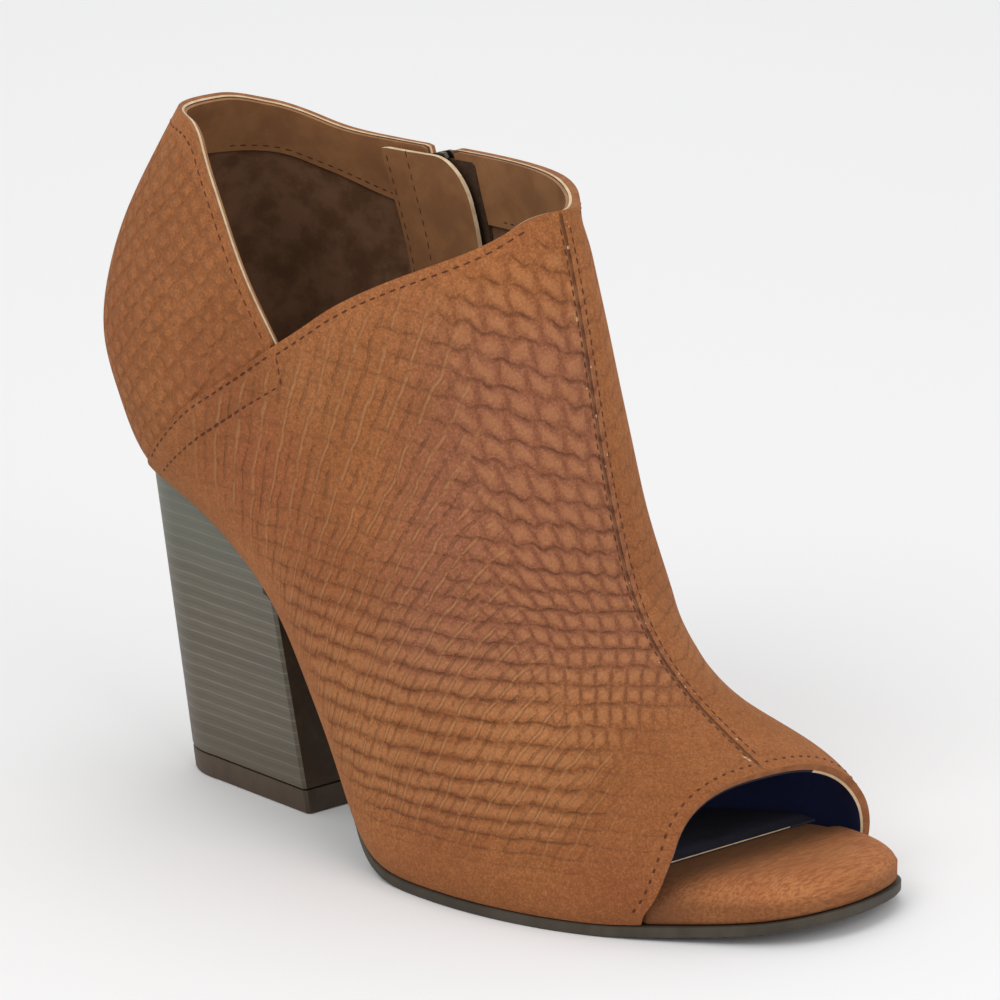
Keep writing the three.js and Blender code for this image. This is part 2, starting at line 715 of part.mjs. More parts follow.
// Slider: two plates either side of the tapes, a wedge between them and a bail on the outer one.
const sliderShape = [
  [-0.55, 0.5], [0.55, 0.5], [0.8, 0.1], [1, -0.3], [0.85, -0.46], [0.45, -0.5],
  [-0.45, -0.5], [-0.85, -0.46], [-1, -0.3], [-0.8, 0.1],
];
const wedgeShape = [[-1, -0.5], [1, -0.5], [0.35, 0.05], [-0.35, 0.05]];
const sizedShape = (shape, half) => shape.map(([across, down]) => [across * half, down * sliderLength]);
const sliderOutline = sizedShape(sliderShape, sliderWidth / 2);
const wedgeOutline = sizedShape(wedgeShape, chainHalf - clearance);
const plateTop = clearance + sliderPlate;
const innerPlate = -zipTapeThickness - clearance;
const bailBase = plateTop - clearance; // sunk into the plate

// The bail stands in the plane of the zip's line and the outward direction.
const bailSteps = 12;
function bailForm(grow) {
  const outline = Array.from({ length: bailSteps + 1 }, (_, i) => {
    const turn = Math.PI * (i / bailSteps);
    return new THREE.Vector2((bailReach / 2 - grow) * Math.cos(turn), (bailRise - grow) * Math.sin(turn));
  });
  const shape = new THREE.Shape(outline);
  const geometry = new THREE.ExtrudeGeometry(shape, { depth: bailWidth, bevelEnabled: false });
  geometry.translate(0, 0, -bailWidth / 2);
  const across = new THREE.Vector3(1, 0, 0);
  const down = new THREE.Vector3(0, 1, 0);
  const out = new THREE.Vector3(0, 0, 1);
  geometry.applyMatrix4(new THREE.Matrix4().makeBasis(down, out, across));
  geometry.translate(0, 0, bailBase);
  return solidOf(geometry);
}
const zipSlider = framePlate(sliderOutline, clearance, plateTop)
  .add(framePlate(sliderOutline, innerPlate - sliderPlate, innerPlate))
  .add(framePlate(wedgeOutline, innerPlate - clearance, bailBase))
  .add(bailForm(0).subtract(bailForm(bailThickness)));

// Pull tab: a flat tab hanging down, with a window whose top bar runs through the bail.
const barRadius = pullBar / 2;
const barOut = bailBase + bailRise - bailThickness - clearance - barRadius;
const windowHalf = bailWidth / 2 + 2 * clearance;
const windowEnd = bailReach / 2 + bailThickness + clearance;
const tabCorner = 0.6; // rounding of the tab's ends, as a share of its half width
function tabOutline() {
  const half = pullWidth / 2;
  const corner = half * tabCorner;
  const shape = new THREE.Shape();
  shape.moveTo(-half, corner - barRadius);
  shape.quadraticCurveTo(-half, -barRadius, corner - half, -barRadius);
  shape.lineTo(half - corner, -barRadius);
  shape.quadraticCurveTo(half, -barRadius, half, corner - barRadius);
  shape.lineTo(half, pullLength - corner);
  shape.quadraticCurveTo(half, pullLength, half - corner, pullLength);
  shape.lineTo(corner - half, pullLength);
  shape.quadraticCurveTo(-half, pullLength, -half, pullLength - corner);
  shape.closePath();
  return shape;
}
const tabSettings = { depth: pullThickness, bevelEnabled: false, curveSegments: 5 };
const tab = new THREE.ExtrudeGeometry(tabOutline(), tabSettings);
tab.translate(0, 0, barOut - pullThickness / 2);
const tabWindow = new THREE.BoxGeometry(2 * windowHalf, windowEnd + pullBar, 2 * pullThickness);
tabWindow.translate(0, (windowEnd - pullBar) / 2, barOut);
const bar = new THREE.CylinderGeometry(barRadius, barRadius, pullWidth - pullBar, roundSides);
bar.rotateZ(Math.PI / 2);
bar.translate(0, 0, barOut);
const zipPull = solidOf(tab).subtract(solidOf(tabWindow)).add(solidOf(bar));

// The boot's pieces, in one frame.
const boot = new THREE.Group();
const pieces = [
  ["upper", upper, 0x9a5a34],
  ["outsole", outsole, 0x3a332d],
  ["footbed", footbed, 0xa05a38],
  ["insole_sock", insoleSock, 0x4a3428],
  ["heel_block", heelBlock, 0x77705f],
  ["heel_tip", heelTip, 0x5a4a3a],
  ["zip_tape_front", zipTapeFront, 0x4a3628],
  ["zip_tape_rear", zipTapeRear, 0x4a3628],
  ["zip_chain", zipChain, 0x54483a],
  ["zip_guard", zipGuard, 0xa26b42],
  ["zip_slider", zipSlider, 0x4b4236, sliderFrame],
  ["zip_pull", zipPull, 0x4b4236, sliderFrame],
];
for (const [name, solid, color, frame] of pieces) {
  const geometry = geometryOf(solid);
  if (frame) geometry.applyMatrix4(frame);
  const mesh = new THREE.Mesh(geometry, new THREE.MeshStandardMaterial({ color }));
  mesh.name = name;
  boot.add(mesh);
}

// Origin on the floor under the middle of the bounding box.
const bounds = new THREE.Box3().setFromObject(boot);
const middle = bounds.getCenter(new THREE.Vector3());
for (const mesh of boot.children) mesh.geometry.translate(-middle.x, -middle.y, -bounds.min.z);

export default boot;
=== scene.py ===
"""Looks of an open-toe ankle boot on a block heel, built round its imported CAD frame.

Shapes are worked out in the last's own millimetres (x from heel to toe, y to the inner side, z up)
and moved to the frame's metres when a mesh is made.
"""

import math

import bpy
import numpy as np
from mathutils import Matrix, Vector


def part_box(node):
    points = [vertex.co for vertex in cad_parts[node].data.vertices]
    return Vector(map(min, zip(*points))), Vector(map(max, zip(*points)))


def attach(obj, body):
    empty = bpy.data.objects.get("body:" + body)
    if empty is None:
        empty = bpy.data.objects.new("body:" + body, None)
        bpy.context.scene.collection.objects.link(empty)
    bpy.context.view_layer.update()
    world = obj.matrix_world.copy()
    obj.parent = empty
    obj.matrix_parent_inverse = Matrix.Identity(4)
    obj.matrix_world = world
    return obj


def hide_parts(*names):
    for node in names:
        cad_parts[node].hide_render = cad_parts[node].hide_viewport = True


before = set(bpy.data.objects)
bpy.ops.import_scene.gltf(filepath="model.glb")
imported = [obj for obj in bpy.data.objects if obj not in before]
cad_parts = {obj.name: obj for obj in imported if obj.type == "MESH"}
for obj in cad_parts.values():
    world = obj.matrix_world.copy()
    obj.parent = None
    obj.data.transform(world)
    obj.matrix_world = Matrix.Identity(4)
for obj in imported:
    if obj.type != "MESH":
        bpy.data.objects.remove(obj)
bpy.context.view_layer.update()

# Driving sizes, as in the CAD source (mm).
FOOT_LENGTH = 221.0
BALL_WIDTH = 84.0
SEAT_HEIGHT = 84.0
COLLAR_HEIGHT = 175.0
TOE_SPRING = 4.0
WALL = 1.8
LAP = 0.8
CLEARANCE = 0.3
OUTSOLE = 2.7
SOLE_TOP = OUTSOLE + CLEARANCE
SEAT_RISE = SEAT_HEIGHT - SOLE_TOP
SHAFT_RISE = COLLAR_HEIGHT - SEAT_HEIGHT
HEEL_SHIFT = -1.5
HEEL_TIP_FRONT = 64.0

# How often a search halves its span: 2^-40 of it is far below a micron.
HALVINGS = 40

# The frame's origin in the last's own frame, read off the heel tip.
tip_low, tip_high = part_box("heel_tip")
MIDDLE = np.array([HEEL_TIP_FRONT - tip_high.x * 1000, HEEL_SHIFT - (tip_low.y + tip_high.y) * 500, 0.0])


# Curves and the last


def ramp(value, start, end):
    """Smooth rise from 0 to 1 between start and end: 3t^2 - 2t^3."""
    t = np.clip((value - start) / (end - start), 0, 1)
    return t * t * (3 - 2 * t)


def spline(values):
    """Natural cubic spline through values at whole numbers: the chord plus cubic terms of the end bends."""
    v = np.asarray(values, float)
    n = len(v)
    i = np.arange(1, n - 1)
    system = np.eye(n)
    system[i, i - 1] = 1
    system[i, i] = 4
    system[i, i + 1] = 1
    right = np.zeros(n)
    right[i] = 6 * (v[i + 1] - 2 * v[i] + v[i - 1])
    bend = np.linalg.solve(system, right)

    def at(t):
        t = np.asarray(t, float)
        k = np.clip(np.floor(t).astype(int), 0, n - 2)
        f = t - k
        g = 1 - f
        return g * v[k] + f * v[k + 1] + ((g**3 - g) * bend[k] + (f**3 - f) * bend[k + 1]) / 6

    return at


def curve(rows):
    """Smooth curve through rows of (place, value), as a function of place.

    Both columns are splined by row number."""
    table = np.array(rows, float)
    t = np.linspace(0, len(table) - 1, 1500)
    places, values = spline(table[:, 0])(t), spline(table[:, 1])(t)
    return lambda x: np.interp(x, places, values)


# Feather line: share of the foot's length, share of the seat's rise; and share of the toe spring.
rise_at = curve([
    (-0.1, 1.04), (0.0, 1.02), (0.065, 0.98), (0.125, 0.922), (0.18, 0.842), (0.235, 0.735), (0.29, 0.59),
    (0.335, 0.465), (0.38, 0.33), (0.425, 0.185), (0.465, 0.08), (0.51, 0.02), (0.57, 0), (0.67, 0),
    (0.77, 0), (0.85, 0), (0.93, 0), (1.0, 0), (1.06, 0),
])
spring_at = curve([(-0.1, 0), (0.4, 0), (0.77, 0), (0.85, 0.12), (0.93, 0.46), (1.0, 1.0), (1.06, 1.6)])


def feather(x):
    """Height of the line where upper and sole meet: sole top, plus the seat's rise, plus the toe spring."""
    share = np.asarray(x) / FOOT_LENGTH
    rise = np.where(share < 0.565, np.maximum(rise_at(share), 0), 0)
    spring = np.where(share > 0.77, np.maximum(spring_at(share), 0), 0)
    return SOLE_TOP + SEAT_RISE * rise + TOE_SPRING * spring


# Sections of the last, toe tip to above the collar, with the columns of the CAD source: keel and ridge as
# shares of length and height, half width and shift as shares of the ball's width, where the section is widest
# as a share of its height, and the powers of its curve below and above that.
LAST_COLUMNS = ("keel_x", "keel_up", "ridge_x", "ridge_z", "half", "shift", "widest", "low", "high")
LAST_ROWS = np.array([
    (1.01, -0.066, 1.01, 0.08, 0.036, 0.12, 0.45, 2.6, 2.2),
    (0.999, -0.09, 0.999, 0.108, 0.17, 0.12, 0.42, 2.8, 2.2),
    (0.97, -0.105, 0.968, 0.153, 0.3, 0.125, 0.4, 3.0, 2.15),
    (0.92, -0.11, 0.916, 0.2, 0.392, 0.1, 0.37, 3.1, 2.65),
    (0.858, -0.112, 0.856, 0.24, 0.464, 0.046, 0.35, 3.1, 2.4),
    (0.79, -0.112, 0.792, 0.287, 0.5, -0.025, 0.34, 3.1, 1.8),
    (0.715, -0.112, 0.74, 0.344, 0.512, -0.084, 0.33, 3.1, 1.58),
    (0.634, -0.112, 0.705, 0.412, 0.515, -0.116, 0.32, 3.1, 1.57),
    (0.552, -0.114, 0.682, 0.49, 0.504, -0.132, 0.31, 3.0, 1.72),
    (0.474, -0.118, 0.664, 0.567, 0.485, -0.13, 0.31, 2.9, 1.8),
    (0.4, -0.124, 0.65, 0.642, 0.46, -0.107, 0.33, 2.8, 1.86),
    (0.327, -0.13, 0.637, 0.716, 0.436, -0.083, 0.35, 2.75, 1.9),
    (0.254, -0.135, 0.624, 0.786, 0.417, -0.06, 0.37, 2.7, 1.94),
    (0.177, -0.135, 0.612, 0.844, 0.413, -0.048, 0.37, 2.7, 1.97),
    (0.095, -0.126, 0.602, 0.888, 0.418, -0.04, 0.36, 2.7, 2.0),
    (0.01, -0.07, 0.595, 0.914, 0.425, -0.036, 0.34, 2.8, 2.0),
    (-0.036, 0.09, 0.591, 0.931, 0.433, -0.036, 0.32, 2.8, 2.05),
    (-0.063, 0.27, 0.587, 0.946, 0.436, -0.036, 0.31, 2.8, 2.1),
    (-0.061, 0.46, 0.582, 0.963, 0.424, -0.035, 0.32, 2.75, 2.1),
    (-0.039, 0.66, 0.576, 0.986, 0.402, -0.032, 0.35, 2.65, 2.15),
    (0.0, 0.86, 0.567, 1.017, 0.384, -0.028, 0.4, 2.5, 2.2),
    (0.038, 1.03, 0.556, 1.054, 0.376, -0.024, 0.45, 2.4, 2.2),
])
LAST = {name: spline(LAST_ROWS[:, i]) for i, name in enumerate(LAST_COLUMNS)}
LAST_END = len(LAST_ROWS) - 1


def section(s):
    """Keel, ridge and measures of the section at row number s, as arrays."""
    keel_x = LAST["keel_x"](s) * FOOT_LENGTH
    keel_z = feather(keel_x) + LAST["keel_up"](s) * SHAFT_RISE
    ridge_x = LAST["ridge_x"](s) * FOOT_LENGTH
    ridge_z = LAST["ridge_z"](s) * COLLAR_HEIGHT
    height = np.hypot(ridge_x - keel_x, ridge_z - keel_z)
    return keel_x, keel_z, ridge_x, ridge_z, height


def last_point(s, turn, side):
    """Point of the last at row s: a superellipse half, its turn from -90 degrees, the keel, to 90, the ridge.
    Past 90 degrees it goes on over the ridge to the other side."""
    keel_x, keel_z, ridge_x, ridge_z, height = section(s)
    widest = LAST["widest"](s) * height
    low, high = 2 / LAST["low"](s), 2 / LAST["high"](s)
    sine, cosine = np.sin(turn), np.cos(turn)
    size = np.abs(sine)
    up = np.where(sine < 0, widest * (1 - size**low), widest + (height - widest) * size**high)
    share = up / height
    power = np.where(sine < 0, low, high)
    out = LAST["half"](s) * BALL_WIDTH * np.sign(cosine) * np.abs(cosine) ** power
    return np.stack(np.broadcast_arrays(
        keel_x + (ridge_x - keel_x) * share,
        LAST["shift"](s) * BALL_WIDTH * (1 - share) + side * out,
        keel_z + (ridge_z - keel_z) * share,
    ), axis=-1)


def locate(x, z):
    """Row and turn of the last at side view points: the row by halving on which side of its keel-ridge line
    the point lies, the turn by undoing the superellipse's height."""
    x, z = np.asarray(x, float), np.asarray(z, float)
    low, high = np.zeros_like(x), np.full_like(x, LAST_END)
    for _ in range(HALVINGS):
        s = (low + high) / 2
        kx, kz, rx, rz, _h = section(s)
        ahead = (rx - kx) * (z - kz) - (rz - kz) * (x - kx) > 0
        high = np.where(ahead, high, s)
        low = np.where(ahead, s, low)
    s = (low + high) / 2
    kx, kz, rx, rz, height = section(s)
    up = np.clip(((x - kx) * (rx - kx) + (z - kz) * (rz - kz)) / height, 0, height)
    widest = LAST["widest"](s) * height
    below = (1 - np.clip(up / widest, 0, 1)) ** (LAST["low"](s) / 2)
    above = np.clip((up - widest) / (height - widest), 0, 1) ** (LAST["high"](s) / 2)
    return s, np.where(up < widest, -np.arcsin(below), np.arcsin(above))


def on_skin(s, turn, side, distance=0.0):
    """Points and outward normals of the skin at a distance out.

    The normal is the cross product of two small steps on the skin."""
    step = 1e-3
    point = last_point(s, turn, side)
    along = last_point(s + step, turn, side) - last_point(s - step, turn, side)
    round_ = last_point(s, turn + step, side) - last_point(s, turn - step, side)
    normal = np.cross(along, round_)
    normal /= np.linalg.norm(normal, axis=-1, keepdims=True) + 1e-12
    kx, kz, rx, rz, _h = section(s)
    centre = np.stack([(kx + rx) / 2, np.zeros_like(kx), (kz + rz) / 2], axis=-1)
    normal *= np.sign(np.sum(normal * (point - centre), axis=-1, keepdims=True))
    return point + normal * distance, normal


# Lines on the boot, in side view


def sized(line):
    """Rows of (share of the foot's length, share of the collar's height) in millimetres."""
    return np.array(line) * (FOOT_LENGTH, COLLAR_HEIGHT)


V_X, V_Z = 0.299 * FOOT_LENGTH, 0.708 * COLLAR_HEIGHT
outer_back = curve(sized([
    (-0.15, 1.011), (0.0, 1.011), (0.022, 1.0105), (0.08, 1.008), (0.125, 1.002), (0.146, 0.988),
    (0.162, 0.965), (0.208, 0.882), (0.25, 0.802), (0.299, 0.708),
]))
outer_front = curve(sized([
    (0.299, 0.708), (0.344, 0.745), (0.389, 0.783), (0.462, 0.83), (0.538, 0.875), (0.573, 0.908),
    (0.592, 0.927), (0.65, 0.965),
]))
inner_edge = curve(sized([
    (-0.15, 1.011), (0.0, 1.011), (0.022, 1.009), (0.048, 0.991), (0.09, 0.964), (0.145, 0.947),
    (0.27, 0.943), (0.45, 0.946), (0.54, 0.941), (0.592, 0.927), (0.65, 0.92),
]))
lap_edge = curve(sized([
    (-0.12, 0.24), (0.03, 0.45), (0.104, 0.537), (0.158, 0.594), (0.208, 0.634), (0.299, 0.708),
]))
opening_edge = curve(sized([
    (0.866, -0.05), (0.872, 0.02), (0.883, 0.05), (0.894, 0.08), (0.902, 0.115), (0.905, 0.16), (0.905, 0.3),
])[:, ::-1])
OPENING_TURN = 0.03
OPENING_RIDGE = 0.905 * FOOT_LENGTH  # where the opening's edge crosses the boot's ridge
ZIP_FROM, ZIP_TO = sized([(0.264, 0.97), (0.385, 0.37)])
ZIP_LENGTH = np.hypot(*(ZIP_TO - ZIP_FROM))
ZIP_DOWN = (ZIP_TO - ZIP_FROM) / ZIP_LENGTH
ZIP_ACROSS = np.array([-ZIP_DOWN[1], ZIP_DOWN[0]])
SLOT_HALF = 4.5


def collar_height(x, y):
    """Height of the collar's edge: the outer and inner lines, blended over 16 mm beside the boot's middle."""
    outer = np.where(x < V_X, outer_back(x), outer_front(x))
    return outer + (inner_edge(x) - outer) * ramp(y, -2, 14)


def zip_place(x, z):
    """Distances along the zip and across it, towards the toe."""
    dx, dz = x - ZIP_FROM[0], z - ZIP_FROM[1]
    return dx * ZIP_DOWN[0] + dz * ZIP_DOWN[1], dx * ZIP_ACROSS[0] + dz * ZIP_ACROSS[1]


def zip_point(along, across):
    """Side view point at distances along and across the zip."""
    return (ZIP_FROM[0] + ZIP_DOWN[0] * along + ZIP_ACROSS[0] * across,
            ZIP_FROM[1] + ZIP_DOWN[1] * along + ZIP_ACROSS[1] * across)


def opening_x(x, y, z):
    """How far a point is behind the toe opening's edge, with the edge turned a little about the upright."""
    local = (x - OPENING_RIDGE) * math.cos(OPENING_TURN) - y * math.sin(OPENING_TURN) + OPENING_RIDGE
    return opening_edge(z) - local


def in_upper(p):
    """Above 0 inside the upper's outline: over the feather line, under the collar, behind the opening."""
    x, y, z = p.T
    return np.minimum.reduce([z - feather(x), collar_height(x, y) - z, opening_x(x, y, z)])


def off_zip(p, half=SLOT_HALF):
    """Above 0 outside the zip's slot, whose lower end is round."""
    x, y, z = p.T
    along, across = zip_place(x, z)
    return np.where(y > 0, np.hypot(across, np.maximum(along - ZIP_LENGTH, 0)) - half, 99.0)


def in_vamp(p):
    """Above 0 in the vamp: outside under the lap line or ahead of the dip, inside ahead of the zip."""
    x, y, z = p.T
    outer = np.maximum(lap_edge(x) - z, x - V_X)
    return np.where(y < 0, outer, zip_place(x, z)[1])


# Meshes


def make(name, points, triangles, materials, body="boot", slot=None, replaces=(), parts=None, values=None,
         sharp=40):
    """One finished mesh object from points in the last's millimetres.

    parts is each triangle's material, values are numbers that the points carry for it, and edges that bend by
    more than sharp degrees stay sharp."""
    mesh = bpy.data.meshes.new(name)
    placed = (np.asarray(points) - MIDDLE) / 1000
    triangles = np.asarray(triangles)
    a, b, c = (placed[triangles[:, i]] for i in range(3))
    if np.sum(a * np.cross(b, c)) < 0:
        triangles = triangles[:, ::-1]
    mesh.from_pydata(placed.tolist(), [], triangles.tolist())
    for finish in materials:
        mesh.materials.append(finish)
    if parts is not None:
        mesh.polygons.foreach_set("material_index", np.asarray(parts, np.int32))
    mesh.polygons.foreach_set("use_smooth", np.ones(len(triangles), bool))
    mesh.set_sharp_from_angle(angle=math.radians(sharp))
    for key, value in (values or {}).items():
        mesh.attributes.new(key, "FLOAT", "POINT").data.foreach_set("value", np.asarray(value, np.float32))
    mesh.update()
    made = bpy.data.objects.new(name, mesh)
    bpy.context.scene.collection.objects.link(made)
    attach(made, body)
    if replaces:
        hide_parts(*replaces)
    return made


# Rings from toe to collar, steps round half a ring, points that a half is measured by, and the length in mm
# that one radian of bend counts for.
RINGS, HALF_STEPS, DENSE = 236, 112, 700
CORNER_PULL = 9.0


def skin_grid():
    """The last's skin as rings of points: each half section is walked at even steps of its length,
    with bends counted as extra length, from the ridge round the outer side, the keel and the inner side."""
    rows = np.linspace(0.6, LAST_END, RINGS)
    turns = math.pi * (0.5 - np.linspace(0, 1, DENSE))
    halves = []
    for side in (-1, 1):
        dense = last_point(rows[:, None], turns[None, :], side)
        step = np.diff(dense, axis=1)
        length = np.linalg.norm(step, axis=2)
        unit = step / (length[..., None] + 1e-12)
        bend = np.arccos(np.clip(np.sum(unit[:, 1:] * unit[:, :-1], axis=2), -1, 1))
        measure = length + CORNER_PULL * np.pad(bend, ((0, 0), (1, 0)))
        total = np.concatenate([np.zeros((RINGS, 1)), np.cumsum(measure, axis=1)], axis=1)
        even = total[:, -1:] * np.linspace(0, 1, HALF_STEPS + 1)
        place = np.array([np.interp(even[r], total[r], turns) for r in range(RINGS)])
        halves.append(last_point(rows[:, None], place, side))
    return np.concatenate([halves[0], halves[1][:, -2:0:-1]], axis=1)


GRID = skin_grid()
COUNT = GRID.shape[1]
around = np.roll(GRID, -1, axis=1) - np.roll(GRID, 1, axis=1)
GRID_NORMALS = np.cross(np.gradient(GRID, axis=0), around)
GRID_NORMALS /= np.linalg.norm(GRID_NORMALS, axis=2, keepdims=True)
GRID_POINTS, GRID_NORMALS = GRID.reshape(-1, 3), GRID_NORMALS.reshape(-1, 3)
ring, place = np.meshgrid(np.arange(RINGS - 1), np.arange(COUNT), indexing="ij")
corner_a, corner_b = ring * COUNT + place, ring * COUNT + (place + 1) % COUNT
GRID_TRIANGLES = np.concatenate([
    np.stack([corner_a, corner_b, corner_a + COUNT], axis=-1).reshape(-1, 3),
    np.stack([corner_b, corner_b + COUNT, corner_a + COUNT], axis=-1).reshape(-1, 3),
])
GRID_EDGES = np.unique(np.sort(np.concatenate([GRID_TRIANGLES[:, [0, 1]], GRID_TRIANGLES[:, [1, 2]],
                                               GRID_TRIANGLES[:, [2, 0]]]), axis=1), axis=0)


def trimmed(keep):
    """The part of the skin where keep is above 0.

    Grid points next to the edge are slid along a grid line on to it, so the border is a clean line. Then
    triangles with a corner outside go."""
    value = keep(GRID_POINTS)
    a, b = GRID_EDGES.T
    crossing = (value[a] > 0) != (value[b] > 0)
    a, b = a[crossing], b[crossing]
    share = value[a] / (value[a] - value[b])
    first = share < 0.5
    near, other, share = np.where(first, a, b), np.where(first, b, a), np.where(first, share, 1 - share)
    order = np.argsort(-share)
    target = np.full(len(value), -1)
    amount = np.zeros(len(value))
    target[near[order]] = other[order]
    amount[near[order]] = share[order]
    moved = target >= 0
    points, normals = GRID_POINTS.copy(), GRID_NORMALS.copy()
    for array in (points, normals):
        array[moved] += (array[target[moved]] - array[moved]) * amount[moved, None]
    value = np.where(moved, 0, value)
    corners = value[GRID_TRIANGLES]
    inside = (corners >= 0).all(axis=1)
    flat = (corners == 0).all(axis=1)
    inside[flat] = keep(points[GRID_TRIANGLES[flat]].mean(axis=1)) > 0
    triangles = GRID_TRIANGLES[inside]
    used, compact = np.unique(triangles, return_inverse=True)
    normals = normals[used]
    normals /= np.linalg.norm(normals, axis=1, keepdims=True)
    return points[used], normals, compact.reshape(-1, 3)


# Rim faces ahead of this x and on this side of this y take a third material: the toe opening's dark rim (mm).
TOE_RIM_FROM, TOE_RIM_SIDE = 150, 18


def shell(name, keep, near, far, materials, shape=None, values=None, **options):
    """A closed shell of the skin between two distances out of it, with a rim.

    shape adds to the outer distance. The materials are the faces', the rim's and, if given, the toe rim's."""
    points, normals, triangles = trimmed(keep)
    n = len(points)
    outer = near + (shape(points) if shape else 0)
    vertices = np.concatenate([points + normals * np.reshape(depth, (-1, 1)) for depth in (outer, far)])
    edges = np.concatenate([triangles[:, [0, 1]], triangles[:, [1, 2]], triangles[:, [2, 0]]])
    keys = np.sort(edges, axis=1) @ (n, 1)
    _unique, index, counts = np.unique(keys, return_index=True, return_counts=True)
    p, q = edges[index[counts == 1]].T
    faces = np.concatenate([triangles, triangles[:, ::-1] + n,
                            np.stack([q, p, p + n], axis=1), np.stack([q, p + n, q + n], axis=1)])
    front = (points[p, 0] > TOE_RIM_FROM) & (points[p, 1] < TOE_RIM_SIDE) & (len(materials) > 2)
    parts = np.concatenate([np.zeros(2 * len(triangles), int), np.tile(1 + front, 2)])
    extra = {key: np.tile(value, 2) for key, value in (values(points) if values else {}).items()}
    return make(name, vertices, faces, materials, parts=parts, values=extra, **options)


def lofted(rings):
    """Points and triangles of stacked rings of equal length, capped by strips from one side to the other."""
    rings = np.asarray(rings)
    levels, count = rings.shape[:2]
    r, i = np.meshgrid(np.arange(levels - 1), np.arange(count), indexing="ij")
    a, b = r * count + i, r * count + (i + 1) % count
    parts = [
        np.stack([a, b, b + count], -1).reshape(-1, 3),
        np.stack([a, b + count, a + count], -1).reshape(-1, 3),
    ]
    k = np.arange((count - 1) // 2)
    low = np.stack([k, k + 1, count - 2 - k, count - 1 - k], axis=1)
    for start, flip in ((0, -1), ((levels - 1) * count, 1)):
        cap = np.concatenate([low[:, [0, 1, 3]], low[:, [1, 2, 3]]]) + start
        cap = cap[(cap[:, 0] != cap[:, 1]) & (cap[:, 1] != cap[:, 2]) & (cap[:, 0] != cap[:, 2])]
        parts.append(cap[:, ::flip])
    return rings.reshape(-1, 3), np.concatenate(parts)


# Materials


def colour(text):
    """sRGB hex to a linear colour."""
    channels = np.array([int(text[i:i + 2], 16) for i in (1, 3, 5)]) / 255
    return (*np.where(channels < 0.04045, channels / 12.92, ((channels + 0.055) / 1.055) ** 2.4), 1.0)


def wire(tree, target, inputs):
    """Sets a node's inputs: each is a number, a hex colour, or a node or socket to link from."""
    for key, value in inputs.items():
        if isinstance(value, bpy.types.Node):
            value = next(socket for socket in value.outputs if socket.enabled)
        if isinstance(value, bpy.types.NodeSocket):
            tree.links.new(value, target.inputs[key])
        else:
            target.inputs[key].default_value = colour(value) if isinstance(value, str) else value


def node(tree, kind, *values, inputs=None, **settings):
    """Adds one shader node with its settings. Values fill its sockets in order, inputs by name or number."""
    made = tree.nodes.new("ShaderNode" + kind)
    for name, value in settings.items():
        setattr(made, name, value)
    wire(tree, made, {**dict(enumerate(values)), **(inputs or {})})
    return made


def material(name, noises=(), values=()):
    """A new material, its tree, its shader, and what its pattern starts from, by name.

    A row of noises holds a name, the size of its features in mm (one number, or along x, y and z), its detail
    and its roughness. values are the names of numbers that the mesh carries. place is the point in mm."""
    made = bpy.data.materials.new(name)
    made.use_nodes = True
    tree = made.node_tree
    given = {value: node(tree, "Attribute", attribute_name=value).outputs["Fac"] for value in values}
    if noises:
        metres = node(tree, "TexCoord").outputs["Object"]
        given["place"] = node(tree, "VectorMath", metres, (1000.0, 1000.0, 1000.0), operation="MULTIPLY")
    for noise, size, detail, roughness in noises:
        scale = [1 / length for length in np.broadcast_to(size, 3)]
        vector = node(tree, "VectorMath", given["place"], scale, operation="MULTIPLY")
        given[noise] = node(tree, "TexNoise", inputs={
            "Vector": vector, "Scale": 1.0, "Detail": detail, "Roughness": roughness,
        })
    return made, tree, tree.nodes["Principled BSDF"], given


def add_marks(tree, given, rows):
    """Adds marks to what is given. A row holds the mark's name, what it is measured by, where that starts and
    ends the mark's smooth rise from 0 to 1, and the names of the marks or values that limit it."""
    for name, measure, start, end, *limits in rows:
        given[name] = node(tree, "MapRange", measure, start, end, interpolation_type="SMOOTHSTEP")
        for limit in limits:
            given[name] = node(tree, "Math", given[name], given[limit], operation="MULTIPLY")


def painted(tree, given, tone, layers):
    """Lays tints over a tone in turn. A layer holds a mark's name, its strength and the tint."""
    for mark, strength, tint in layers:
        amount = node(tree, "Math", given[mark], strength, operation="MULTIPLY", use_clamp=True)
        tone = node(tree, "Mix", inputs={0: amount, 6: tone, 7: tint}, data_type="RGBA")
    return tone


